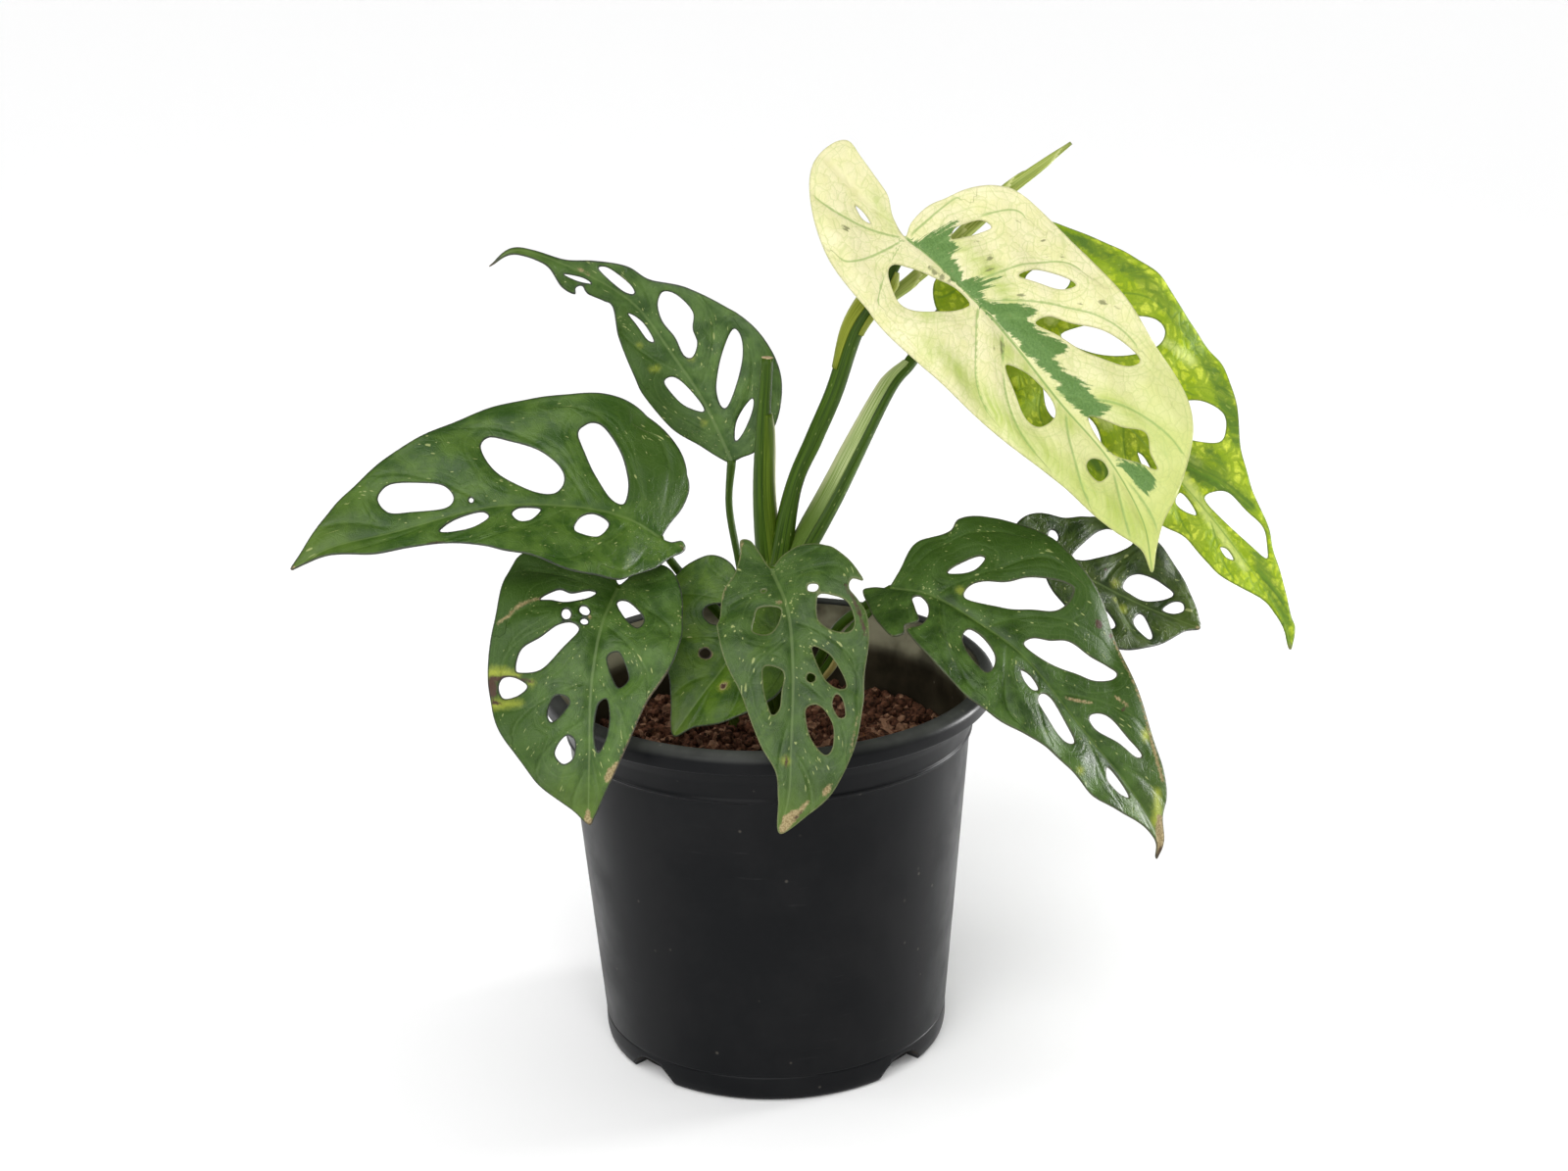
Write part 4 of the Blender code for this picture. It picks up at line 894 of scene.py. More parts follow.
# %% Curves through points
def curve_through(points, steps, closed=False):
    """Rows of a Catmull-Rom curve through the points."""
    rows = np.array(points, float)
    count = len(rows)
    if closed:
        padded = np.vstack([rows[-1:], rows, rows[:2]])
    else:
        padded = np.vstack([2 * rows[0] - rows[1], rows, 2 * rows[-1] - rows[-2]])
    share = np.linspace(0, 1, steps, endpoint=False)[:, None]
    out = []
    for i in range(count if closed else count - 1):
        a, b, c, d = padded[i:i + 4]
        bend = 2 * a - 5 * b + 4 * c - d
        twist = -a + 3 * b - 3 * c + d
        out.append(0.5 * (2 * b + (c - a) * share + bend * share**2 + twist * share**3))
    if not closed:
        out.append(rows[-1:])
    return np.vstack(out)


def unit(rows):
    return rows / np.linalg.norm(rows, axis=-1, keepdims=True)


def reach_along(line):
    """How far each point of a line is from its start."""
    return np.concatenate([[0], np.cumsum(np.linalg.norm(np.diff(line, axis=0), axis=1))])


def rows_at(stop, table, stops):
    """Rows of a table, read off between its stops."""
    return np.stack([np.interp(stop, stops, column) for column in table.T], -1)


print("points of a test curve:", len(curve_through([(0, 0), (1, 1), (2, 0)], 10)))

# %% [markdown]
# ## The curved surface of a leaf
#
# A leaf hangs from its midrib like a roof from its ridge. At each point of the midrib the way ahead and
# the way the face looks give a small frame, and each half leaves it at its own angle and bends on as it
# goes out. So a class can turn a place on the drawing into a place in space.

# %% Lay the drawings on curved surfaces
WAVE_REACH = 30.0
WAVE_LIMIT = 1.3
WAVE_SHIFT = 0.37


class Blade:
    """The middle surface of one leaf, in millimetres."""

    def __init__(self, spine, face, fold, curl, back, wave, margin, windows):
        self.line = curve_through(spine, 40)
        self.reach = reach_along(self.line)
        self.length = self.reach[-1]
        self.ahead = unit(np.gradient(self.line, axis=0))
        self.shares = np.array([share for share, _ in face])
        self.faces = unit(np.array([way for _, way in face], float))
        self.fold, self.curl, self.back, self.wave = fold, curl, back, wave
        self.margin, self.windows = margin, windows

    def frame(self, u):
        """Centre, way ahead, upper face and way right at distances u along the midrib."""
        held = np.clip(u, 0, self.length)
        centre = rows_at(held, self.line, self.reach)
        ahead = unit(rows_at(held, self.ahead, self.reach))
        up = rows_at(held / self.length, self.faces, self.shares)
        up = unit(up - (up * ahead).sum(-1, keepdims=True) * ahead)
        right = np.cross(ahead, up)
        behind = np.maximum(held - u, 0)[..., None]
        bend = math.radians(self.back) / 10
        turn = bend * behind
        centre = centre - ahead * np.sin(turn) / bend + up * (1 - np.cos(turn)) / bend
        centre = centre + ahead * np.maximum(u - held, 0)[..., None]
        return centre, ahead, up * np.cos(turn) + ahead * np.sin(turn), right

    def at(self, u, v):
        """Points at u along the midrib and v out to the right of it."""
        u, v = np.asarray(u, float), np.asarray(v, float)
        centre, _, up, right = self.frame(u)
        share = np.clip(u / self.length, 0, 1)
        side = (v > 0).astype(int)
        fold = np.array(self.fold, float)[side]
        curl = np.array(self.curl, float)[side]
        fold = np.radians(fold[..., 0] + (fold[..., 1] - fold[..., 0]) * share)
        curl = np.radians(curl[..., 0] + (curl[..., 1] - curl[..., 0]) * share) / 10 + 1e-9
        out = np.abs(v)
        across = np.sign(v) * (np.sin(fold + curl * out) - np.sin(fold)) / curl
        lift = (np.cos(fold) - np.cos(fold + curl * out)) / curl
        height, length, phase = self.wave
        ripple = np.sin(2 * np.pi * (u / length + phase + np.where(v > 0, WAVE_SHIFT, 0)))
        lift = lift + height * np.minimum(out / WAVE_REACH, WAVE_LIMIT) ** 2 * ripple
        return centre + right * across[..., None] + up * lift[..., None]

    def normals(self, u, v):
        step = 0.4
        ahead = self.at(u + step, v) - self.at(u - step, v)
        right = self.at(u, v + step) - self.at(u, v - step)
        return unit(np.cross(right, ahead))


blades = {name: Blade(**shape) for name, shape in LEAVES.items()}
for name, blade in blades.items():
    print(name, "midrib", round(blade.length), "mm")

# %% [markdown]
# ## A fine net over each drawing
#
# A constrained Delaunay triangulation joins the outline, the window rims and a lattice of inner points
# with well-shaped triangles, and leaves the windows open. The lattice is a little under a millimetre, so
# that veins and blisters can be real relief.

# %% Triangles over the drawing
RIM_STEP = 0.6
LATTICE = 0.85
ROW_SHARE = 0.87
RIM_CLEARANCE = 0.55 * LATTICE


def even_loop(points):
    """A smooth closed outline with a point every RIM_STEP or so."""
    dense = curve_through(points, 16, closed=True)
    ring = np.vstack([dense, dense[:1]])
    reach = reach_along(ring)
    count = max(10, round(reach[-1] / RIM_STEP))
    stops = np.linspace(0, reach[-1], count, endpoint=False)
    return np.stack([np.interp(stops, reach, ring[:, i]) for i in (0, 1)], -1)


def inside(points, loop):
    """Which points lie inside the loop, by the even-odd rule."""
    x, y = points[:, 0, None], points[:, 1, None]
    ax, ay = loop[:, 0], loop[:, 1]
    bx, by = np.roll(ax, -1), np.roll(ay, -1)
    crosses = (ay > y) != (by > y)
    level = np.where(by == ay, 1.0, by - ay)
    return (crosses & (x < ax + (y - ay) * (bx - ax) / level)).sum(axis=1) % 2 == 1


def on_sheet(points, loops):
    """Which points lie inside the outline, the first loop, and outside every window."""
    keep = inside(points, loops[0])
    for window in loops[1:]:
        keep &= ~inside(points, window)
    return keep


def distance_to(points, spots):
    """Distance from each point to the nearest of the spots, on the drawing."""
    tree = kdtree.KDTree(len(spots))
    for i, spot in enumerate(spots):
        tree.insert((*spot, 0), i)
    tree.balance()
    return np.array([tree.find((*point, 0))[2] for point in points])


def fine_sheet(blade):
    """Flat points, triangles, and the distance of each point to the nearest rim."""
    loops = [even_loop(blade.margin)] + [even_loop(window) for window in blade.windows]
    points, edges = [], []
    for loop in loops:
        first = len(points)
        points += loop.tolist()
        edges += [(first + i, first + (i + 1) % len(loop)) for i in range(len(loop))]
    rim = np.array(points)
    low, high = rim.min(axis=0), rim.max(axis=0)
    rows = np.arange(math.ceil(low[1] / (LATTICE * ROW_SHARE)), high[1] / (LATTICE * ROW_SHARE))
    lattice = np.array([(u + (row % 2) * LATTICE / 2, row * LATTICE * ROW_SHARE) for row in rows
                        for u in np.arange(low[0], high[0], LATTICE)])
    lattice = lattice[on_sheet(lattice, loops)]
    lattice = lattice[distance_to(lattice, rim) > RIM_CLEARANCE]
    coords = [Vector(point) for point in np.vstack([rim, lattice])]
    corners, _, faces, *_ = delaunay_2d_cdt(coords, edges, [], 0, 1e-5)
    corners, faces = np.array(corners), np.array(faces)
    keep = on_sheet(corners[faces].mean(axis=1), loops)
    dense = np.vstack([curve_through(blade.margin, 24, closed=True)]
                      + [curve_through(window, 16, closed=True) for window in blade.windows])
    return corners, faces[keep], distance_to(corners, dense)


print("net step:", LATTICE, "mm")

# %% [markdown]
# ## How far along the veins
#
# A vein is far thinner than the net's triangles, so the mesh can't hold its edge. Instead each point
# gets a number that counts the veins of its half: 3.0 on the first vein, 3.5 halfway to the second. The
# number changes smoothly, and the material can draw a sharp vein wherever it passes a whole number.

# %% Count the veins across a leaf
VEIN_REACH = 0.86
FIRST_VEIN = 3
END_GAP = 8.0


def half_width(loop, side, u):
    """How far the outline reaches out on this side at u."""
    ahead = np.roll(loop, -1, axis=0)
    spans = (loop[:, 0] - u) * (ahead[:, 0] - u) <= 0
    spans &= loop[:, 0] != ahead[:, 0]
    share = (u - loop[spans, 0]) / (ahead[spans, 0] - loop[spans, 0])
    reaches = side * (loop[spans, 1] + share * (ahead[spans, 1] - loop[spans, 1]))
    return max(reaches.max(initial=0.0), 1.0)


def side_vein(loop, side, start, end):
    """Points of one side vein."""
    x = np.linspace(0, 1, 24)
    out = VEIN_REACH * half_width(loop, side, end) * np.sin(np.pi / 2 * x) ** 0.85
    return np.stack([start + (end - start) * x, side * out], -1)


def to_line(points, line):
    """Distance to a line of points, and which side of it each point is on."""
    a, b = line[:-1], line[1:]
    way = b - a
    off = points[:, None] - a[None]
    share = np.clip((off * way).sum(-1) / (way**2).sum(-1), 0, 1)
    gap = np.linalg.norm(off - share[..., None] * way, axis=-1)
    best = gap.argmin(axis=1)
    rows = np.arange(len(points))
    turn = way[best, 0] * off[rows, best, 1] - way[best, 1] * off[rows, best, 0]
    return gap[rows, best], turn


def vein_count(points, loop, veins):
    """The vein number at each point, and the local distance between two veins."""
    count, spread = np.zeros((2, len(points)))
    for side, pairs in ((-1, veins[0]), (1, veins[1])):
        on_side = points[:, 1] < 0 if side < 0 else points[:, 1] >= 0
        here = points[on_side]
        found = [to_line(here, side_vein(loop, side, *pair)) for pair in pairs]
        gaps = np.array([gap for gap, _ in found])
        near = gaps.argmin(axis=0)
        cols = np.arange(len(here))
        padded = np.vstack([END_GAP + gaps[:1], gaps, END_GAP + gaps[-1:]])
        tipward = np.array([-side * turn for _, turn in found])[near, cols] > 0
        own = gaps[near, cols]
        other = np.where(tipward, padded[near + 2, cols], padded[near, cols])
        share = own / (own + other)
        count[on_side] = FIRST_VEIN + near + np.where(tipward, share, -share)
        spread[on_side] = own + other
    return count, spread


print("a vein ends at", VEIN_REACH, "of the half's width")

# %% [markdown]
# ## Marks on each leaf
#
# An old leaf has its own history: a tip that dried out, a scratch, a yellow halo round a wound, and on
# the cream leaf sectors of dark green tissue. A mark is either a row of (along, right, half width)
# stops, in mm on the drawing, so that one stop is a round spot and several are a streak, or the
# (along, right) corners of an area. A few pinholes are marks too, but go into the net as small windows.

# %% Where the marks are
MARK_KINDS = ("dry", "yellow", "dark")
MARKS = {}
MARKS["leaf_back_left"] = dict(
    dry=[[(80, 0.4, 0.3), (84.5, 0.6, 0.4)], [(114, 0, 0.3), (117, 0, 0.8)]],
    yellow=[
        [(40.2, -6.8, 0.5)], [(41, -8.2, 0.3)], [(49.5, -7.2, 0.3)], [(36.5, 4.5, 0.5)], [(16, -3, 0.4)],
    ],
)
MARKS["leaf_left"] = dict(
    dry=[[(119.5, 0, 0.2), (121, 0, 0.8)]],
    dark=[[(73.5, -10.2, 0.4), (78, -9.2, 0.4)], [(-8, 0.4, 0.5), (-6, 1, 0.2)]],
)
MARKS["leaf_front_left"] = dict(
    dry=[
        [(11.8, 20.8, 0.3), (13.5, 23.8, 0.4), (15.5, 26.8, 0.5), (18.2, 29, 0.4), (20.2, 32, 0.3)],
        [(63, -6.2, 1.0), (60.8, -7.6, 1.5), (58.2, -9.4, 0.8)],
        [(57, -10.2, 0.3), (48, -14.6, 0.3), (37.5, -19.6, 0.4), (28.5, -24, 0.3)],
        [(73.5, 0.2, 0.5), (77.5, 0, 1.8)], [(14.6, 9.8, 0.4)], [(12.4, 4.6, 0.3), (14.2, 4.4, 0.3)],
    ],
    yellow=[
        [(33.0, 31.4, 1.3), (32.7, 27.5, 1.0), (33.2, 23, 0.4)],
        [(41.2, 29.8, 1.3), (41, 26, 1.0), (40.8, 21.5, 0.4)], [(35.2, 18.6, 0.5)],
    ],
    dark=[
        [(34.8, 31.6, 0.9), (36.6, 31.0, 1.5), (38.8, 30.6, 0.9)],
        [(34.6, 31, 0.7), (34.3, 27, 0.5), (34.4, 21, 0.3), (34.8, 18, 0.3)],
        [(40.6, 30.5, 0.5), (41, 27, 0.25)],
    ],
)
MARKS["leaf_inner"] = dict(
    dry=[[(31.2, -5, 1.4)], [(24.6, 7.4, 2.3)]],
    yellow=[[(31.2, -5, 1.3)]],
    dark=[[(31.2, -5, 1.0)], [(24.6, 7.4, 2.1)]],
)
MARKS["leaf_front"] = dict(
    dry=[
        [(-12, 5.6, 0.5), (-6.5, 8.4, 0.5), (-1, 13.6, 0.5), (5, 18.2, 0.4)],
        [(78, -3.2, 1.2), (80.5, -1.4, 1.9), (85, -0.6, 1.0)], [(74.4, -5.8, 0.5), (78, -3.6, 0.8)],
        [(71.6, -10.6, 0.8), (69.4, -12.2, 0.5)], [(48, -19.8, 0.1), (60, -18, 0.2)], [(13.2, 2, 0.8)],
    ],
    yellow=[[(63, 1.5, 0.8)]],
    dark=[
        [(61.8, 1.4, 0.3), (64.8, 1.6, 0.4)], [(13.2, 2, 0.4)],
        [(15, -19.2, 0.4), (21, -21.4, 0.5), (27, -22.6, 0.4)], [(77, -5, 0.3), (80, -3, 0.3)],
    ],
)
MARKS["leaf_right"] = dict(
    dry=[
        [(69.2, -2, 0.3), (72.8, -4.8, 0.5), (76, -8, 0.3)], [(80.2, -16, 0.4), (85, -17, 0.4)],
        [(64, -31.6, 0.4), (79, -25, 0.4), (92, -19.6, 0.4), (110, -11, 0.6)],
        [(119, -3, 1.2), (124.5, -1, 2.2), (131.7, 0, 2.5)],
    ],
    yellow=[[(22.5, -6.2, 0.9)], [(96.5, -15.8, 1.6)], [(112, -7, 1.0), (119, -2, 1.6)], [(88, 12, 0.7)]],
    dark=[
        [(22.5, -6.2, 0.4)], [(58.8, -28.2, 1.3)], [(64, -30.5, 0.9)], [(85, -15.2, 0.6)],
        [(127.5, -1, 0.6), (131.7, 0, 1.2)],
    ],
)
MARKS["leaf_back_right"] = dict(
    yellow=[[(24.5, -3, 1.1)], [(29.5, 5.5, 1.1)], [(26, 3.6, 0.5)]],
    dry=[[(24.5, -3, 0.4)], [(58.5, 0, 0.8)]],
    dark=[[(19.8, -5.8, 0.6)]],
)
MARKS["leaf_cream"] = dict(
    dry=[
        [(20.5, -29.5, 0.4)], [(26.2, -29.8, 0.3)], [(29.2, -32.2, 0.4)], [(22.5, -13.2, 0.4)],
        [(23.8, -10.8, 0.5)], [(37.2, -12.5, 0.3)], [(45, 4.2, 0.5)], [(46.5, 6, 0.5)], [(45.4, 6.8, 0.3)],
        [(50.2, -25, 0.3)], [(16, -14.5, 0.3)], [(40, -27, 0.4)], [(33, -29.5, 0.5)],
        [(12, 3.4, 0.2), (16, 3.0, 0.5), (19, 2.0, 0.2)], [(54, -30.5, 0.3)], [(58, -33, 0.3)],
        [(36, -33, 0.3)], [(-16, 14, 0.4)],
    ],
    yellow=[
        [(12, -9, 1.5), (26, -10.5, 3.0), (40, -8, 2.0)],
        [(-17, -2.6, 0.6), (-11, -1.2, 1.3), (-5, 0.4, 0.5)], [(44, 4, 2.0), (62, 3, 4.0), (78, 3, 3.0)],
        [(30, 24, 2.5), (60, 20, 4.0), (96, 14, 3.0), (118, 3, 4.0)], [(78, -12, 2.0), (100, -18, 2.0)],
        [(16, 16, 1.5), (24, 16, 2.0)],
    ],
    dark=[
        [(0.5, 0.3), (3.2, -1.8), (5, -7.8), (8, -15.8), (9.6, -12.2), (10.4, -9.4), (14, -8.6), (13, -5.4),
         (17.2, -4.0), (22, -1.8), (25.2, -6.2), (28.8, -11.4), (28.6, -6.6), (28.4, -3.4), (33, -2.0),
         (38, -7.5), (43, -12.6), (44.5, -9.8), (47.2, -9.5), (52, -11.5), (57.5, -14.9), (58.8, -11.4),
         (58.6, -6.6), (62, -6.8), (68.2, -9.8), (73.8, -11.6), (75.2, -9), (78.2, -8.8), (82.4, -11.4),
         (82, -7), (80.6, -3.2), (62, -2.4), (50, -1.1), (36, -0.2), (20, 0.4)],
        [(88, -2.2), (94.2, -2.8), (100.2, -6.8), (105.8, -9.9), (109, -7.8), (109.2, -4.5), (105, -2.2),
         (97.5, -2.0)],
    ],
)
MARKS["leaf_lime"] = dict(
    dry=[[(163.6, 0, 0.4), (165, 0, 1.2)]],
    yellow=[
        [(90, -3, 1.5), (112, 1, 2.0), (132, 2, 1.5)], [(60, -30, 1.0), (72, -34, 2.0)],
        [(44, 4, 1.5), (66, 6, 2.0)], [(30, -10, 2.0), (30, -18, 1.0)], [(88, -6, 1.2), (97, -9, 0.8)],
    ],
    dark=[
        [(12, -38, 2.0), (26, -43, 2.5), (46, -40, 2.5), (68, -40, 2.5), (84, -36, 3.0), (100, -24, 2.0)],
        [(66, -5, 2.0), (84, -6, 3.5), (100, -8, 4.0), (118, -13, 1.8)], [(97, -14, 2.0), (104, -13, 2.5)],
        [(132, -4, 2.0), (146, -2, 2.5), (156, -1, 1.5)], [(156, 0.8, 1.5), (163, 0, 2.0)],
        [(52, 20, 1.5), (76, 20, 2.5), (96, 15, 1.5)], [(0, -4, 2.5), (20, -3, 1.5), (36, -2, 1.0)],
    ],
)
PINHOLES = {"leaf_left": (62, 3.5, 0.7), "leaf_front_left": (15.3, 5.5, 0.95), "leaf_front": (7.4, 5.0, 0.6)}
PINHOLE_STRETCH = 1.3
ring = np.arange(0, 2 * math.pi, math.pi / 3)
for name, (u, v, radius) in PINHOLES.items():
    tall = PINHOLE_STRETCH * radius
    blades[name].windows.append([(u + radius * math.cos(turn), v + tall * math.sin(turn)) for turn in ring])
print("marks:", sum(len(rows) for leaf in MARKS.values() for rows in leaf.values()))

# %% [markdown]
# ## Distances that a blade stores
#
# Painted textures would need an unwrapped leaf. Instead each point of the mesh stores how far it is, in
# mm, from the nearest mark of each kind and from the rim of the nearest window.

# %% Distances to marks and windows
FAR = 50.0


def to_mark(points, rows):
    """How far each point is outside a mark; below zero is inside it."""
    rows = np.array(rows, float)
    if rows.shape[1] == 2:
        gap, _ = to_line(points, np.vstack([rows, rows[:1]]))
        return np.where(inside(points, rows), -gap, gap)
    if len(rows) == 1:
        return np.linalg.norm(points - rows[0, :2], axis=1) - rows[0, 2]
    gaps = []
    for a, b in zip(rows[:-1], rows[1:]):
        way = b[:2] - a[:2]
        share = np.clip(((points - a[:2]) @ way) / (way @ way), 0, 1)
        gap = np.linalg.norm(points - a[:2] - share[:, None] * way, axis=1)
        gaps.append(gap - (a[2] + (b[2] - a[2]) * share))
    return np.min(gaps, axis=0)


def mark_fields(points, marks):
    """For each kind of mark, the distance to the nearest one."""
    fields = []
    for kind in MARK_KINDS:
        gaps = [to_mark(points, rows) for rows in marks.get(kind, [])]
        fields.append(np.minimum(np.min(gaps, axis=0), FAR) if gaps else np.full(len(points), FAR))
    return np.stack(fields, -1)


def vectors(mesh, name, rows):
    layer = mesh.attributes.new(name, "FLOAT_VECTOR", "POINT")
    layer.data.foreach_set("vector", np.ascontiguousarray(rows, np.float32).ravel())


def hole_gap(points, blade):
    """How far each point is from the rim of the nearest window."""
    gaps = [np.full(len(points), FAR)]
    for window in blade.windows:
        loop = curve_through(window, 4, closed=True)
        gaps.append(to_line(points, np.vstack([loop, loop[:1]]))[0])
    return np.min(gaps, axis=0)


print("kinds of mark:", ", ".join(MARK_KINDS))

# %% [markdown]
# ## Relief of a blade
#
# The blade swells a little between its veins, and each vein lies in a shallow groove above and on a
# rounded rib below. The midrib does the same more strongly. Near the petiole and the rims the relief
# fades out. It is worked out as two heights, one for the upper face and one for the lower.

# %% Heights of the two faces
BLADE_THICKNESS = 0.5
BLISTER = 0.95
BLISTER_SPREAD = 14.0
SWELL = 0.8
SWELL_WIDTHS = (26, 17, 11)
GROOVE = 0.4
MIDRIB_RIB = 0.9
VEIN_RIB = 0.2
MIDRIB_WIDTH = 0.5
MIDRIB_GROWTH = 0.8
VEIN_WIDTH = 0.7
CALM_REACH = (5, 22)
RIM_FLAT = 5.0
MIDRIB_FLAT = 4.0
SWELL_FLAT = 14.0


def smooth_step(low, high, value):
    x = np.clip((value - low) / (high - low), 0, 1)
    return x * x * (3 - 2 * x)


def uneven(u, v, seed):
    """Slow swells of the sheet, about -1 to 1."""
    draw = random.Random(seed)
    total = 0
    for wide in SWELL_WIDTHS:
        turn, phase = draw.uniform(0, math.pi), draw.uniform(0, 2 * math.pi)
        along = u * math.cos(turn) + v * math.sin(turn)
        total = total + wide / SWELL_WIDTHS[0] * np.sin(2 * np.pi / wide * along + phase)
    return total / 1.6


def relief(blade, corners, edge, count, spread, seed):
    """How far the upper and the lower face stand off the middle of the sheet."""
    u, v = corners.T
    nearest = np.abs(count - np.round(count))
    calm = smooth_step(*CALM_REACH, np.hypot(u, v))
    inner = smooth_step(0, RIM_FLAT, edge) * smooth_step(0, MIDRIB_FLAT, np.abs(v))
    swell = BLISTER * np.sin(np.pi * nearest) * np.minimum(spread / BLISTER_SPREAD, 1) * inner * calm
    swell += SWELL * uneven(u, v, seed) * smooth_step(0, SWELL_FLAT, np.abs(v)) * calm
    taper = np.clip(1.05 - u / blade.length, 0.1, 1)
    width = MIDRIB_WIDTH + MIDRIB_GROWTH * taper
    rib = np.exp(-((v / width) ** 2)) * smooth_step(-3, 2, u)
    fine_rib = np.exp(-((nearest * spread / VEIN_WIDTH) ** 2)) * inner
    high = swell - GROOVE * rib * taper + BLADE_THICKNESS / 2
    low = swell - MIDRIB_RIB * rib * taper - VEIN_RIB * fine_rib - BLADE_THICKNESS / 2
    return high, low


print("blade thickness:", BLADE_THICKNESS, "mm")

# %% [markdown]
# ## One closed sheet
#
# Both faces are built from the one net, and a band of faces joins them along every rim, so the blade is
# closed like a real sheet. Each point stores its place on the drawing, its vein number, its distances
# to the petiole and the nearest window, and how far it is from the nearest mark of each kind.

# %% Mesh of a blade
def rim_pairs(faces):
    """Directed edges that only one triangle has."""
    way = np.concatenate([faces[:, [0, 1]], faces[:, [1, 2]], faces[:, [2, 0]]])
    _, first, times = np.unique(np.sort(way, axis=1), axis=0, return_index=True, return_counts=True)
    return way[first[times == 1]]


def leaf_mesh(name, blade, materials, seed):
    corners, faces, edge = fine_sheet(blade)
    u, v = corners.T
    loop = curve_through(blade.margin, 6, closed=True)
    count, spread = vein_count(corners, loop, SIDE_VEINS[name])
    high, low = relief(blade, corners, edge, count, spread, seed)
    out = blade.normals(u, v)
    middle = blade.at(u, v)
    a, b, c = middle[faces[0]]
    if np.dot(np.cross(b - a, c - a), out[faces[0, 0]]) < 0:
        faces = faces[:, ::-1]
    n = len(corners)
    shell = faces.tolist() + (faces[:, ::-1] + n).tolist()
    shell += [(b, a, a + n, b + n) for a, b in rim_pairs(faces)]
    points = np.vstack([middle + out * high[:, None], middle + out * low[:, None]])
    leaf = new_object(name + "_blade", points * MM, shell, materials)
    under = np.zeros(len(shell), np.int32)
    under[len(faces):2 * len(faces)] = 1
    leaf.data.polygons.foreach_set("material_index", under)
    stored = {
        "place": np.stack([u, v, edge], -1),
        "veins": np.stack([count, spread, u / blade.length], -1),
        "gaps": np.stack([hole_gap(corners, blade), np.hypot(u, v), edge], -1),
        "marks": mark_fields(corners, MARKS.get(name, {})),
    }
    for field, rows in stored.items():
        vectors(leaf.data, field, np.tile(rows, (2, 1)))
    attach(leaf, "root")
    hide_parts(name)
    return leaf


print("leaves to mesh:", len(blades))

# %% [markdown]
# ## Veins on the skin
#
# Three groups read the stored values, and every kind of leaf takes all three. The first draws the
# midrib, the side veins and the fine net between them. A line also runs round each window, a few mm
# from its rim, and another along the margin. The group puts out the height of all this for the bump.

# %% Group for veins
WINDOW_LINE = 2.4
MARGIN_LINE = 1.7


def vein_group():
    labels = ("Midrib", "Vein", "Net", "Loop", "Rim", "Tip", "Quilt", "Height")
    graph, given, close = new_group("leaf veins", labels, Width=0.22)
    u, v, edge = graph.split(graph.field("place"))
    count, spread, share = graph.split(graph.field("veins"))
    side = graph.size(v)
    off = graph.size(graph.minus(count, graph.math("ROUND", count)))
    gap = graph.times(off, spread)
    thick = graph.times(given["Width"], graph.step(side, 0, 32, 1.25, 0.55))
    vein = graph.step(gap, graph.times(thick, 0.4), graph.plus(thick, 0.35), 1, 0)
    vein = graph.times(vein, graph.step(side, 0.7, 2.2))
    vein = graph.times(vein, graph.step(edge, 0.2, 2.5))
    broad = graph.step(share, 0, 1, 0.32, 0.06)
    midrib = graph.step(side, broad, graph.plus(broad, 0.35), 1, 0)
    midrib = graph.times(midrib, graph.step(u, -2, 0.5))
    flat = graph.join(u, v, 0)
    bend = graph.times(graph.noise(flat, 0.35, 2), 3)
    bent = graph.join(graph.plus(u, bend), graph.plus(v, bend), 0)
    seam = graph.cells(bent, 0.3, "DISTANCE_TO_EDGE")[0]
    fine_seam = graph.cells(bent, 0.85, "DISTANCE_TO_EDGE")[0]
    net = graph.most(graph.step(seam, 0.01, 0.06, 1, 0), graph.step(fine_seam, 0.01, 0.08, 0.5, 0))
    net = graph.times(net, graph.step(side, 0.8, 2.0))
    hole, root, _ = graph.split(graph.field("gaps"))
    drift = graph.times(graph.noise(flat, 0.09, 1), 3)
    inward = graph.minus(graph.minus(hole, drift), WINDOW_LINE)
    ring = graph.size(inward)
    loop = graph.times(graph.step(ring, 0.1, 0.38, 1, 0), graph.step(side, 2.5, 5))
    hem = graph.size(graph.minus(edge, MARGIN_LINE))
    loop = graph.most(loop, graph.step(hem, 0.08, 0.3, 0.7, 0))
    dip = graph.times(graph.step(ring, 0.1, 1.1, 0.5, 0), graph.step(side, 2.5, 5))
    dip = graph.most(dip, graph.times(graph.step(gap, 0.1, 1.3, 1, 0), graph.step(side, 0.8, 3)))
    dip = graph.times(dip, graph.step(root, 4, 18))
    quilt = graph.step(seam, 0, 0.32)
    rim = graph.step(edge, 0.2, 0.6, 1, 0)
    height = graph.times(graph.noise(flat, 3.2, 2), 0.35)
    height = graph.minus(height, graph.times(net, 0.22))
    height = graph.minus(height, graph.times(dip, 0.85))
    return close(midrib, vein, net, loop, rim, share, quilt, height)


VEINS = vein_group()

# %% [markdown]
# ## Flecks on the skin
#
# The second group scatters the short cream flecks that this plant has. They lie along the side veins
# and come in clusters, so cell noise is stretched along the veins, and a slow noise says where the
# flecks are many. A mottle and fine streaks between the veins come from the same place on the drawing.

# %% Group for flecks
# Each layer of flecks: cells a vein space, cells a mm along the veins, and the size of a fleck.
FLECK_LAYERS = ((11.0, 0.4, 0.27), (19.0, 0.7, 0.28), (15.0, 1.0, 0.26))


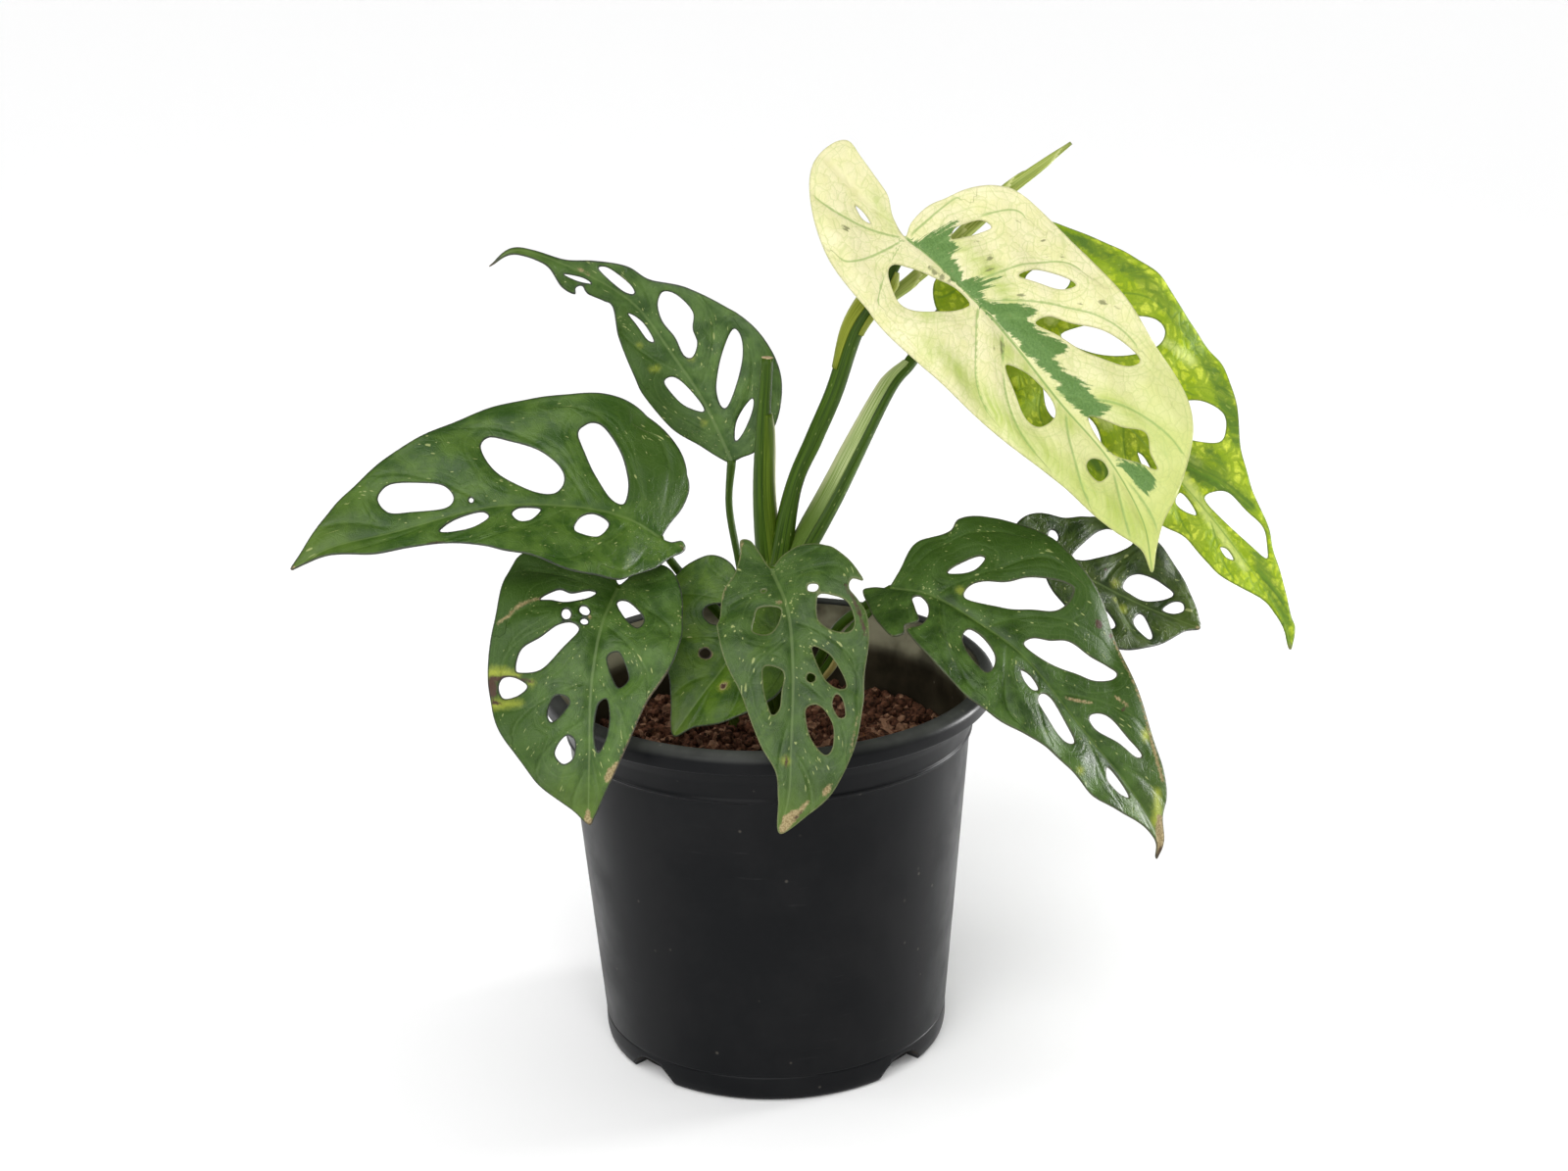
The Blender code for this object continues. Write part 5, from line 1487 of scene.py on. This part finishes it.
def fleck_group():
    graph, given, close = new_group("leaf flecks", ("Fleck", "Mottle", "Streak"), Amount=0.3)
    u, v, _ = graph.split(graph.field("place"))
    count = graph.split(graph.field("veins"))[0]
    flat = graph.join(u, v, 0)
    side = graph.size(v)
    cluster = graph.step(graph.noise(flat, 0.1, 3, 0.65), 0.46, 0.68, 0.06, 1)
    chance = graph.times(cluster, given["Amount"])
    marks = None
    for across, along, size in FLECK_LAYERS:
        place = graph.join(graph.times(count, across), graph.times(side, along), size)
        cell = graph.cells(place, 1)
        level = graph.split(cell[1])
        there = graph.math("GREATER_THAN", chance, level[0])
        reach = graph.times(graph.plus(level[1], 0.3), size)
        dash = graph.step(cell[0], graph.times(reach, 0.6), reach, 1, 0)
        dash = graph.times(dash, there)
        marks = dash if marks is None else graph.most(marks, dash)
    mottle = graph.noise(flat, 0.11, 3, 0.6)
    place = graph.join(graph.times(count, 6.5), graph.times(side, 0.06), 0)
    return close(marks, mottle, graph.noise(place, 1, 4, 0.65))


FLECKS = fleck_group()

# %% [markdown]
# ## Ragged edges for the marks
#
# The third group turns the distances to the marks into dry, yellow and dark areas. A sharp limit would
# look cut out, so noise is added to each distance first. Feather pulls the noise out along the veins,
# as the green sectors of a cream leaf end.

# %% Group for marks
def mark_group():
    labels = ("Dry", "Yellow", "Dark", "Patchy")
    graph, given, close = new_group("leaf marks", labels, Ragged=0.45, Soft=0.25, Halo=0.7, Feather=0.0)
    u, v, _ = graph.split(graph.field("place"))
    flat = graph.join(u, v, 0)
    rough = graph.minus(graph.noise(flat, 0.7, 4, 0.7), 0.5)
    rough = graph.times(rough, graph.times(given["Ragged"], 4))
    count = graph.split(graph.field("veins"))[0]
    place = graph.join(graph.times(count, 9), graph.times(graph.size(v), 0.05), 0)
    feather = graph.minus(graph.noise(place, 1, 4, 0.7), 0.5)
    rough = graph.plus(rough, graph.times(feather, given["Feather"]))
    masks = []
    for gap, soft in zip(graph.split(graph.field("marks")), ("Soft", "Halo", "Soft")):
        ragged = graph.plus(gap, rough)
        masks.append(graph.step(ragged, graph.times(given[soft], -1), given[soft], 1, 0))
    return close(*masks, graph.noise(flat, 1.3, 3, 0.7))


MARKED = mark_group()

# %% [markdown]
# ## Green leaves
#
# The same plant carries dark green, lime and cream leaves. All three kinds take the same groups, with
# their own colours. A green leaf is built up from a mottled ground, a side painted darker as painted
# shade, paler veins, flecks, its marks and its rim, in that order, and each of them is one coat over what
# is there.

# %% Material of a green leaf
BROWN = (0.05, 0.022, 0.01)
TAN = (0.34, 0.28, 0.14)
YELLOW = (0.32, 0.36, 0.035)
FLECK = (0.3, 0.34, 0.12)
# Painted shade: a darker, more saturated green for the side of a leaf that faces away from the light.
PAINTED_SHADE_GREEN = (0.025, 0.066, 0.0005)


def blemish(graph, colour, marked, sector=BROWN):
    """Yellow tissue, then dry tissue, then brown scabs or dark sectors, over a leaf's colour."""
    dry, yellow, dark, patchy = marked
    tan = graph.mix(graph.step(patchy, 0.35, 0.65), TAN, (0.19, 0.135, 0.055))
    colour = graph.coat(colour, YELLOW, yellow, 0.85)
    colour = graph.mix(dry, colour, tan)
    return graph.mix(dark, colour, sector)


def green_look(name, deep, fresh, amount, rim_colour, lush):
    look, graph, shader = new_look(name, 0.42, specular=0.34)
    midrib, vein, net, loop, rim, tip, _, height = graph.group(VEINS)
    fleck, mottle, streak = graph.group(FLECKS, Amount=amount)
    marked = graph.group(MARKED, Ragged=0.6, Soft=0.4, Halo=1.7)
    colour = graph.mix(graph.step(mottle, 0.34, 0.66), deep, fresh)
    bright = graph.times(graph.step(streak, 0.5, 0.75), 0.3)
    colour = graph.mix(bright, colour, (0.078, 0.142, 0.006))
    # Painted shade: the side given by lush is coated darker and more saturated, and made a little rougher.
    u, v, _ = graph.split(graph.field("place"))
    side = graph.times(graph.step(v, *lush[:2]), graph.step(u, *lush[2:]))
    colour = graph.coat(colour, PAINTED_SHADE_GREEN, side, 0.8)
    colour = graph.coat(colour, (0.085, 0.14, 0.008), graph.step(tip, 0.72, 1.0), 0.5)
    lines = graph.most(graph.times(net, 0.5), graph.most(loop, vein))
    colour = graph.coat(colour, (0.12, 0.2, 0.05), lines, 0.16)
    colour = graph.coat(colour, (0.15, 0.22, 0.06), midrib, 0.32)
    colour = graph.coat(colour, FLECK, fleck, 0.8)
    colour = blemish(graph, colour, marked)
    colour = graph.coat(colour, rim_colour, rim, 0.75)
    shine = graph.plus(graph.step(mottle, 0.3, 0.7, 0.38, 0.49), graph.times(side, 0.12))
    paint(graph, shader, colour, graph.plus(shine, graph.times(marked[0], 0.3)))
    add_bump(graph, shader, height, 0.26 * MM)
    return look


print("yellow and dry tissue:", YELLOW, TAN)

# %% [markdown]
# ## The cream leaf
#
# The cream leaf has almost no green of its own. Its veins and net show green through it, it turns lime
# towards the tip, and along the midrib lie sectors of dark green tissue with feathered ends.

# %% Material of the cream leaf
def cream_look():
    look, graph, shader = new_look("cream leaf", 0.5, specular=0.22)
    midrib, vein, net, loop, rim, tip, quilt, height = graph.group(VEINS, Width=0.26)
    fleck, mottle, streak = graph.group(FLECKS, Amount=0.1)
    dry, yellow, dark, patchy = graph.group(MARKED, Ragged=0.6, Soft=0.5, Halo=4.0, Feather=9.0)
    colour = graph.mix(graph.step(mottle, 0.35, 0.7), (0.73, 0.69, 0.42), (0.67, 0.65, 0.33))
    colour = graph.mix(graph.step(tip, 0.3, 1.0, 0, 0.85), colour, (0.46, 0.53, 0.125))
    lush = graph.times(yellow, graph.step(streak, 0.36, 0.62, 0.35, 0.9))
    colour = graph.mix(lush, colour, (0.38, 0.47, 0.095))
    colour = graph.coat(colour, (0.38, 0.46, 0.14), net, 0.36)
    colour = graph.coat(colour, (0.36, 0.46, 0.14), loop, 0.28)
    colour = graph.coat(colour, (0.25, 0.37, 0.1), vein, 0.75)
    deep = graph.mix(graph.step(patchy, 0.25, 0.75), (0.078, 0.168, 0.038), (0.13, 0.24, 0.06))
    deep = graph.mix(graph.times(graph.step(streak, 0.5, 0.7), 0.5), deep, (0.18, 0.31, 0.09))
    colour = graph.coat(colour, (0.2, 0.33, 0.08), midrib, 0.8)
    colour = graph.mix(dark, colour, deep)
    colour = graph.coat(colour, (0.3, 0.3, 0.12), fleck, 0.25)
    colour = graph.coat(colour, (0.19, 0.2, 0.085), dry, 0.85)
    colour = graph.coat(colour, (0.36, 0.36, 0.16), rim, 0.4)
    paint(graph, shader, colour, graph.step(mottle, 0.3, 0.7, 0.42, 0.54))
    relief = graph.plus(height, graph.times(quilt, 0.6))
    add_bump(graph, shader, relief, 0.16 * MM)
    return look


CREAM = cream_look()
print("cream leaf nodes:", len(CREAM.node_tree.nodes))

# %% [markdown]
# ## The lime leaf
#
# The lime leaf is marbled with darker green along its veins. Its sheet is finely quilted: the seams
# between the quilts are painted darker, as painted shade in the hollows, and the quilts add to the height
# that the bump takes.

# %% Material of the lime leaf
def lime_look():
    look, graph, shader = new_look("lime leaf", 0.6, specular=0.12)
    midrib, vein, net, loop, rim, _, quilt, height = graph.group(VEINS, Width=0.26)
    fleck, mottle, streak = graph.group(FLECKS, Amount=0.3)
    dry, yellow, dark, patchy = graph.group(MARKED, Ragged=1.1, Soft=1.2, Halo=1.5)
    colour = graph.mix(graph.step(mottle, 0.36, 0.66), (0.36, 0.46, 0.008), (0.58, 0.65, 0.07))
    colour = graph.coat(colour, (0.23, 0.36, 0.01), graph.step(streak, 0.48, 0.66), 0.5)
    speckle = graph.times(graph.step(patchy, 0.45, 0.6), 0.35)
    colour = graph.mix(speckle, colour, (0.17, 0.3, 0.02))
    # Painted shade in the hollows between the quilts.
    seam_shade = graph.times(graph.step(quilt, 0.2, 0.9, 1, 0), 0.7)
    colour = graph.mix(seam_shade, colour, (0.175, 0.285, 0.012))
    colour = graph.coat(colour, (0.56, 0.63, 0.2), yellow, 0.65)
    marbled = graph.times(dark, graph.step(streak, 0.36, 0.6, 0.45, 0.95))
    colour = graph.mix(marbled, colour, (0.085, 0.165, 0.022))
    colour = graph.coat(colour, (0.13, 0.245, 0.02), loop, 0.3)
    colour = graph.coat(colour, (0.11, 0.22, 0.02), vein, 0.65)
    colour = graph.coat(colour, (0.18, 0.31, 0.05), midrib, 0.6)
    colour = graph.coat(colour, (0.4, 0.48, 0.1), fleck, 0.35)
    colour = graph.mix(dry, colour, TAN)
    colour = graph.coat(colour, (0.075, 0.115, 0.025), rim, 0.6)
    paint(graph, shader, colour, graph.step(mottle, 0.3, 0.7, 0.54, 0.66))
    relief = graph.plus(height, graph.times(quilt, 0.9))
    add_bump(graph, shader, relief, 0.15 * MM)
    return look


LIME = lime_look()
print("lime leaf nodes:", len(LIME.node_tree.nodes))

# %% [markdown]
# ## Undersides
#
# The underside of a leaf is paler and duller than its upper side, and its veins stand out. So one
# function with three sets of colours makes the undersides of all the leaves.

# %% Materials of the undersides
def under_look(name, ground, ribs, sector=BROWN):
    look, graph, shader = new_look(name, 0.6, specular=0.18)
    veins = graph.group(VEINS, Width=0.5)
    mottle = graph.group(FLECKS, Amount=0.15)["Mottle"]
    darker = tuple(level * 0.75 for level in ground)
    colour = graph.mix(graph.step(mottle, 0.35, 0.65), darker, ground)
    colour = graph.coat(colour, ribs, veins["Net"], 0.3)
    colour = graph.coat(colour, ribs, veins["Vein"], 0.7)
    colour = graph.mix(veins["Midrib"], colour, ribs)
    colour = blemish(graph, colour, graph.group(MARKED), sector)
    paint(graph, shader, colour)
    add_bump(graph, shader, veins["Height"], -0.12 * MM)
    return look


GREEN_UNDER = under_look("green underside", (0.07, 0.13, 0.028), (0.14, 0.21, 0.06))
CREAM_UNDER = under_look("cream underside", (0.62, 0.6, 0.31), (0.42, 0.48, 0.17), (0.13, 0.22, 0.07))
LIME_UNDER = under_look("lime underside", (0.21, 0.33, 0.05), (0.34, 0.44, 0.12), (0.15, 0.26, 0.045))
print("undersides:", GREEN_UNDER.name, CREAM_UNDER.name, LIME_UNDER.name)

# %% [markdown]
# ## Growing the leaves
#
# No two green leaves have the same green. Each has its own two greens, its share of flecks and the
# colour of its rim. The last four numbers say where its painted shade, a darker green on the side that
# faces away from the light, begins and is full, first to the right of the midrib and then along it, in
# mm. EVERYWHERE and NOWHERE are limits beyond any leaf.

# %% Mesh every leaf
DUSKY = (0.03, 0.027, 0.03)
STRAW = (0.13, 0.15, 0.06)
OLIVE = (0.06, 0.058, 0.035)
EVERYWHERE = (-99, -98)
NOWHERE = (98, 99, 0, 1)
GREENS = {
    "leaf_back_left": ((0.024, 0.064, 0.006), (0.072, 0.138, 0.024), 0.58, DUSKY, (2, -12, *EVERYWHERE)),
    "leaf_left": ((0.02, 0.06, 0.003), (0.062, 0.124, 0.012), 0.34, DUSKY, (0, 10, 32, 12)),
    "leaf_front_left": ((0.021, 0.058, 0.004), (0.06, 0.122, 0.016), 0.44, DUSKY, (8, 24, *EVERYWHERE)),
    "leaf_inner": ((0.022, 0.062, 0.001), (0.066, 0.13, 0.005), 0.12, DUSKY, (6, 16, 25, 40)),
    "leaf_front": ((0.019, 0.05, 0.004), (0.048, 0.098, 0.013), 0.58, STRAW, NOWHERE),
    "leaf_right": ((0.014, 0.04, 0.002), (0.05, 0.106, 0.012), 0.42, OLIVE, (0, -14, *EVERYWHERE)),
    "leaf_back_right": ((0.013, 0.031, 0.002), (0.044, 0.074, 0.005), 0.24, DUSKY, NOWHERE),
}
face_count = 0
for seed, (name, blade) in enumerate(blades.items()):
    if name == "leaf_cream":
        looks, slot = (CREAM, CREAM_UNDER), "leaf_cream"
    elif name == "leaf_lime":
        looks, slot = (LIME, LIME_UNDER), "leaf_lime"
    else:
        looks, slot = (green_look(name.replace("_", " "), *GREENS[name]), GREEN_UNDER), "leaf_green"
    leaf = leaf_mesh(name, blade, looks, seed)
    face_count += len(leaf.data.polygons)
print("leaf faces:", face_count)

# %% [markdown]
# ## Routes of the stems
#
# Each leaf stands on a petiole, a round stalk that swells a little where it meets the blade. One petiole
# was cut off, and its end has dried. A leaf that hasn't opened yet is rolled up like a cigar. All of
# them follow a few points measured in the photograph, and the last number at each point is the radius.

# %% Routes of the stems, in mm, with the radius last
STEMS = {
    "main": [(6, 8, 84, 5.0), (6, 8, 104, 5.0), (4, 5, 125, 5.0), (2, 1, 150, 5.2), (2, 0, 166, 4.6)],
    "cut": [(2, 1, 150, 4.4), (-0.6, 2, 185, 3.0), (0.2, 2, 210, 2.4), (2.2, 2, 234.5, 1.9)],
    "leaf_cream": [(3, 0, 158, 4.6), (9.3, 1, 190, 2.8), (16.5, 2, 207, 2.9), (23.3, 2, 222.6, 2.9),
                   (30.2, 3, 242, 2.8), (38.6, 4.5, 254, 2.1), (43.5, 5.2, 263, 1.6)],
    "leaf_lime": [(4, -1, 156, 4.4), (13, 0, 171, 3.6), (23.5, 4, 188.5, 3.2), (40.8, 14, 219, 2.3),
                  (49, 19, 228, 2.1), (57.5, 26, 240, 1.9)],
    "leaf_back_left": [(1, 7, 118, 2.4), (-5, 11, 140, 1.5), (-9, 13, 163, 1.25), (-11.6, 15, 181, 1.2)],
    "leaf_left": [(1, 4, 122, 2.4), (-13, -1, 146, 1.7), (-23, -7, 160, 1.5), (-29, -13, 170, 1.4),
                  (-32, -22, 178.5, 1.3)],
    "leaf_front_left": [(2, 4, 112, 2.4), (-15, -4, 138, 1.7), (-31, -15, 156, 1.5), (-42, -27, 167, 1.3)],
    "leaf_inner": [(5, 3, 108, 2.2), (1, -10, 132, 1.4), (-2, -20, 152, 1.2)],
    "leaf_front": [(4, 2, 122, 2.4), (7, -14, 150, 1.7), (7, -32, 171, 1.6), (4.5, -45, 179, 1.4)],
    "leaf_right": [(6, 4, 112, 2.4), (14, -4, 128, 1.7), (22, -12, 146, 1.6), (29, -17, 154.5, 1.5)],
    "leaf_back_right": [(6, 7, 110, 2.4), (19, 6, 126, 1.7), (27, 8, 138, 1.6), (45, 18, 152, 1.5),
                        (66, 30, 161, 1.3), (84, 35, 160, 1.3)],
}
ROLLED_LEAF = [(30.4, 7.5, 240, 1.2), (38, 10, 248.5, 1.8), (51.5, 15, 257.5, 2.0), (71, 24, 273, 2.2),
               (79.5, 26, 281, 2.1), (90, 27, 288.5, 1.5), (101, 27, 296.5, 0.5)]
CUT_STUB = [(-12, 20, 92, 1.9), (-12, 20, 101, 1.9), (-12.6, 19.4, 105.5, 1.7)]
print("routes:", len(STEMS) + 2)

# %% [markdown]
# ## Sweeping a stem
#
# A stem is a ring of points swept along its route. Near the end of a petiole the ring widens into a
# swelling. For the rolled leaf the radius also grows once round the ring, which leaves a step: the free
# edge of the roll, and it winds slowly round the leaf.

# %% Sweep a stem
STEM_SIDES = 32
STEM_STEPS = 12
SWELLING_LENGTH = 7.0
SEAM_TWIST = 0.05
FRONT = np.array([0, -1.0, 0.3])


def along_route(points, steps):
    """Centre, radius, way to the viewer, way right and reach at even steps of a route."""
    rows = curve_through(points, steps)
    line, radii = rows[:, :3], rows[:, 3]
    ahead = unit(np.gradient(line, axis=0))
    front = unit(FRONT - ahead * (ahead @ FRONT)[:, None])
    right = np.cross(front, ahead) * -1
    return line, radii, front, right, reach_along(line)


def stem_mesh(name, route, looks, swelling=0.0, seam=0.0):
    line, radii, front, right, reach = along_route(route, STEM_STEPS)
    left = reach[-1] - reach
    radii = radii * (1 + swelling * np.exp(-((left / SWELLING_LENGTH) ** 2)))
    turns = np.pi + 2 * np.pi * np.arange(STEM_SIDES) / STEM_SIDES
    points, fields = [], []
    for k in range(len(line)):
        past = ((turns - np.pi) / (2 * np.pi) + SEAM_TWIST * reach[k]) % 1.0
        radius = radii[k] * (1 + seam * past)[:, None]
        way = np.cos(turns)[:, None] * front[k] + np.sin(turns)[:, None] * right[k]
        points.append(line[k] + radius * way)
        fields.append(np.stack([turns, np.full(STEM_SIDES, reach[k]), past * (seam > 0)], -1))
    points = np.vstack(points)
    faces = ring_faces(len(line), STEM_SIDES)
    stem = new_object(name, points * MM, faces, looks)
    stem.data.update()
    first = stem.data.polygons[0]
    if first.normal.dot(first.center - Vector(line[0] * MM)) < 0:
        stem.data.flip_normals()
    stem.data.polygons[len(faces) - 1].material_index = len(looks) - 1
    vectors(stem.data, "round", np.vstack(fields))
    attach(stem, "root")
    return stem


print("sides of a stem:", STEM_SIDES)

# %% [markdown]
# ## Wrapping a sheath
#
# Some petioles still carry the sheath from which the next leaf once unrolled: a stiff, striped skin
# with a pale free edge. It starts tight on the petiole, at the root edge, and stands off more and more
# towards the free edge. Two layers of points, outside and inside, are joined round all four edges.

# %% Wrap a sheath round a petiole
SHEATH_STEPS = 16
SHEATH_COLUMNS = 15
SHEATH_FACES = (0.42, -0.1)
SHEATH_THINNING = 0.55
SHEATH_FLARE = 1.6


def sheath_mesh(name, route, span, turns, wings, look):
    """A stiff skin round part of a petiole, with a free edge that stands out."""
    line, radii, front, right, reach = along_route(route, SHEATH_STEPS)
    share = reach / reach[-1]
    keep = (share >= span[0]) & (share <= span[1])
    stand = np.interp(share, [stop for stop, _ in wings], [wide for _, wide in wings])
    across = np.linspace(0, 1, SHEATH_COLUMNS)
    angle = np.radians(turns[0] + (turns[1] - turns[0]) * across)
    layers = []
    for offset in SHEATH_FACES:
        rows = []
        for k in np.flatnonzero(keep):
            thin = offset * (1 - SHEATH_THINNING * across)
            out = radii[k] + thin + stand[k] * across**SHEATH_FLARE
            way = np.cos(angle)[:, None] * front[k] + np.sin(angle)[:, None] * right[k]
            rows.append(line[k] + out[:, None] * way)
        layers.append(np.array(rows))
    rows, wide = layers[0].shape[:2]
    index = np.arange(rows * wide).reshape(rows, wide)
    n = rows * wide
    faces = []
    for k in range(rows - 1):
        for i in range(wide - 1):
            a, b, c, d = index[k, i], index[k, i + 1], index[k + 1, i + 1], index[k + 1, i]
            faces += [(a, b, c, d), (d + n, c + n, b + n, a + n)]
    edge = list(index[0]) + list(index[1:, -1]) + list(index[-1, -2::-1]) + list(index[-2:0:-1, 0])
    for a, b in zip(edge, edge[1:] + edge[:1]):
        faces.append((b, a, a + n, b + n))
    points = np.vstack([layer.reshape(-1, 3) for layer in layers])
    sheath = new_object(name, points * MM, faces, (look,))
    if turns[1] > turns[0]:
        sheath.data.flip_normals()
    kept = reach[keep]
    field = np.stack([np.tile(angle, rows), np.repeat(kept, wide), np.tile(across, rows)], -1)
    vectors(sheath.data, "round", np.tile(field, (2, 1)))
    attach(sheath, "root")
    return sheath


print("columns of a sheath:", SHEATH_COLUMNS)

# %% [markdown]
# ## Petioles and cuts
#
# A petiole is green with fine lengthwise stripes and a few pale flecks, and it pales towards the soil.
# The end of a cut one is dry and corky.

# %% Materials of the stems
def stem_look(name, deep, fresh, pale, low, high, stripes):
    """Green with lengthwise stripes, and paler below the height low, in mm."""
    look, graph, shader = new_look(name, 0.42, specular=0.16)
    stripe, fleck, _, height = graph.group(STRIPES, Count=stripes)
    level = graph.split(graph.spot())[2]
    base = graph.step(level, low * MM, high * MM, 1, 0)
    colour = graph.mix(graph.step(stripe, 0.36, 0.64), deep, fresh)
    colour = graph.coat(colour, pale, base, 0.75)
    colour = graph.coat(colour, (0.26, 0.32, 0.09), fleck, 0.5)
    paint(graph, shader, colour, graph.step(stripe, 0.3, 0.7, 0.34, 0.48))
    add_bump(graph, shader, height, 0.15 * MM)
    return look


def dry_look():
    look, graph, shader = new_look("dried cut", 0.85, specular=0.2)
    spot = graph.spot()
    grain = graph.step(graph.noise(spot, 900, 3, 0.7), 0.35, 0.65)
    colour = graph.mix(grain, (0.3, 0.2, 0.1), (0.55, 0.44, 0.27))
    paint(graph, shader, colour)
    add_bump(graph, shader, graph.noise(spot, 1400, 3), 0.2 * MM)
    return look


PALE_BASE = (0.3, 0.36, 0.07)
THICK_STEM = stem_look("thick petiole", (0.018, 0.044, 0.001), (0.044, 0.092, 0.003),
                       PALE_BASE, 138, 172, 9.0)
THIN_STEM = stem_look("thin petiole", (0.022, 0.052, 0.003), (0.046, 0.092, 0.006),
                      (0.09, 0.13, 0.02), 100, 130, 7.0)
DRIED = dry_look()
print("stems:", THICK_STEM.name, "and", THIN_STEM.name)

# %% [markdown]
# ## Sheaths and the rolled leaf
#
# A sheath has bolder stripes than its petiole. The stored share across it says where its pale edge is,
# and the length along it where its green base ends. The rolled leaf is darkest at its tip.

# %% Materials of the sheaths and the rolled leaf
def sheath_look(name, ground, pale, free_edge=(0.5, 0.52, 0.28), start=0.72, green_base=(0, 1)):
    look, graph, shader = new_look(name, 0.5, specular=0.14)
    stripe, _, edge, height = graph.group(STRIPES, Count=16.0)
    colour = graph.mix(graph.step(stripe, 0.38, 0.62), ground, pale)
    colour = graph.mix(graph.step(edge, start, 0.96), colour, free_edge)
    along = graph.split(graph.field("round"))[1]
    colour = graph.mix(graph.step(along, *green_base, 0.9, 0), colour, (0.05, 0.1, 0.003))
    colour = graph.mix(graph.step(edge, 0.965, 1.0, 0, 0.5), colour, (0.3, 0.25, 0.12))
    paint(graph, shader, colour, graph.step(stripe, 0.3, 0.7, 0.42, 0.58))
    add_bump(graph, shader, height, 0.22 * MM)
    return look


def rolled_look():
    look, graph, shader = new_look("rolled leaf", 0.46, specular=0.25)
    stripe, _, past, height = graph.group(STRIPES, Count=5.0)
    colour = graph.mix(graph.step(stripe, 0.35, 0.65), (0.19, 0.25, 0.035), (0.36, 0.41, 0.1))
    colour = graph.mix(graph.step(past, 0.8, 0.98), colour, (0.55, 0.58, 0.24))
    along = graph.split(graph.field("round"))[1]
    colour = graph.mix(graph.step(along, 84, 99), colour, (0.12, 0.15, 0.03))
    colour = graph.mix(graph.step(along, 0, 30, 0.7, 0), colour, (0.15, 0.25, 0.04))
    paint(graph, shader, colour, graph.step(stripe, 0.3, 0.7, 0.36, 0.5))
    add_bump(graph, shader, height, 0.12 * MM)
    return look


SHEATH = sheath_look("sheath", (0.034, 0.07, 0.001), (0.09, 0.145, 0.01), start=0.62)
PALE_SHEATH = sheath_look("pale sheath", (0.15, 0.23, 0.04), (0.4, 0.46, 0.22),
                          start=0.5, green_base=(24, 50))
OLD_SHEATH = sheath_look("old sheath", (0.34, 0.26, 0.07), (0.52, 0.43, 0.16))
WING = sheath_look("sheath wing", (0.12, 0.155, 0.008), (0.24, 0.27, 0.03), (0.34, 0.37, 0.1))
ROLLED = rolled_look()
print("sheaths:", SHEATH.name, PALE_SHEATH.name, OLD_SHEATH.name, WING.name)

# %% [markdown]
# ## Growing the stems
#
# The petiole of each leaf ends just under its midrib, 1 mm from the start, so that point is worked out
# from the blade. The whole shoot is one piece in the CAD model, and the main stem replaces it. The
# other petioles and the sheaths only ride along.

# %% Grow the stems and the sheaths
PETIOLE_END = 1.1
PETIOLE_DROP = 0.5
SWELLING = 0.35
SEAM_STEP = 0.22
THICK = ("main", "cut", "leaf_cream", "leaf_lime")
# Sheaths: which petiole, the share of it covered, the turn of the root edge and of the free edge in
# degrees (0 faces the viewer, 90 is right), and how far the free edge stands out at each share.
SHEATHS = {
    "cut": ((0.12, 0.8), (10, 105), [(0.12, 1.2), (0.4, 1.7), (0.62, 1.9), (0.72, 1.5), (0.8, 0.1)]),
    "leaf_cream": ((0.66, 0.965), (-30, -100), [(0.66, 0.1), (0.76, 1.6), (0.88, 3.4), (0.965, 1.2)]),
    "leaf_cream_right": ((0.78, 0.985), (30, 100), [(0.78, 0.1), (0.88, 1.0), (0.95, 2.0), (0.985, 0.4)]),
    "leaf_lime": (
        (0.02, 0.83), (-12, -100), [(0.02, 1.0), (0.25, 2.2), (0.5, 2.3), (0.74, 1.7), (0.83, 0.1)],
    ),
    "leaf_back_right": ((0.16, 0.3), (10, 80), [(0.16, 0.3), (0.22, 0.9), (0.3, 0.2)]),
}
SHEATH_LOOKS = {
    "cut": SHEATH, "leaf_cream": WING, "leaf_cream_right": WING, "leaf_lime": PALE_SHEATH,
    "leaf_back_right": OLD_SHEATH,
}

for name, points in STEMS.items():
    route = list(points)
    if name in blades:
        centre, _, up, _ = blades[name].frame(np.array([1.0]))
        route.append(tuple(centre[0] - up[0] * PETIOLE_DROP) + (PETIOLE_END,))
    looks = [THICK_STEM if name in THICK else THIN_STEM]
    if name == "cut":
        looks.append(DRIED)
    stem = stem_mesh("stem_" + name, route, looks, SWELLING if name in blades else 0)
    if name == "main":
        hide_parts("shoot")
for name, (span, turns, wings) in SHEATHS.items():
    route = STEMS["leaf_cream" if name == "leaf_cream_right" else name]
    sheath_mesh("sheath_" + name, route, span, turns, wings, SHEATH_LOOKS[name])
rolled = stem_mesh("rolled_leaf_fine", ROLLED_LEAF, (ROLLED,), seam=SEAM_STEP)
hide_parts("rolled_leaf")
stub = stem_mesh("cut_stub_fine", CUT_STUB, (THIN_STEM, DRIED))
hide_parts("cut_stub")
print("stems and sheaths:", len(STEMS) + len(SHEATHS) + 2)

# %% [markdown]
# ## Finish
#
# The boxes of the CAD model and of the dressed model are compared, and how far the dressed model has grown
# past the CAD box is printed.

# %% Print how far the boxes differ
shown_low, shown_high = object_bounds()
growth = list(cad_low - shown_low) + list(shown_high - cad_high)
print("grown by, in mm:", [round(side / MM, 1) for side in growth])
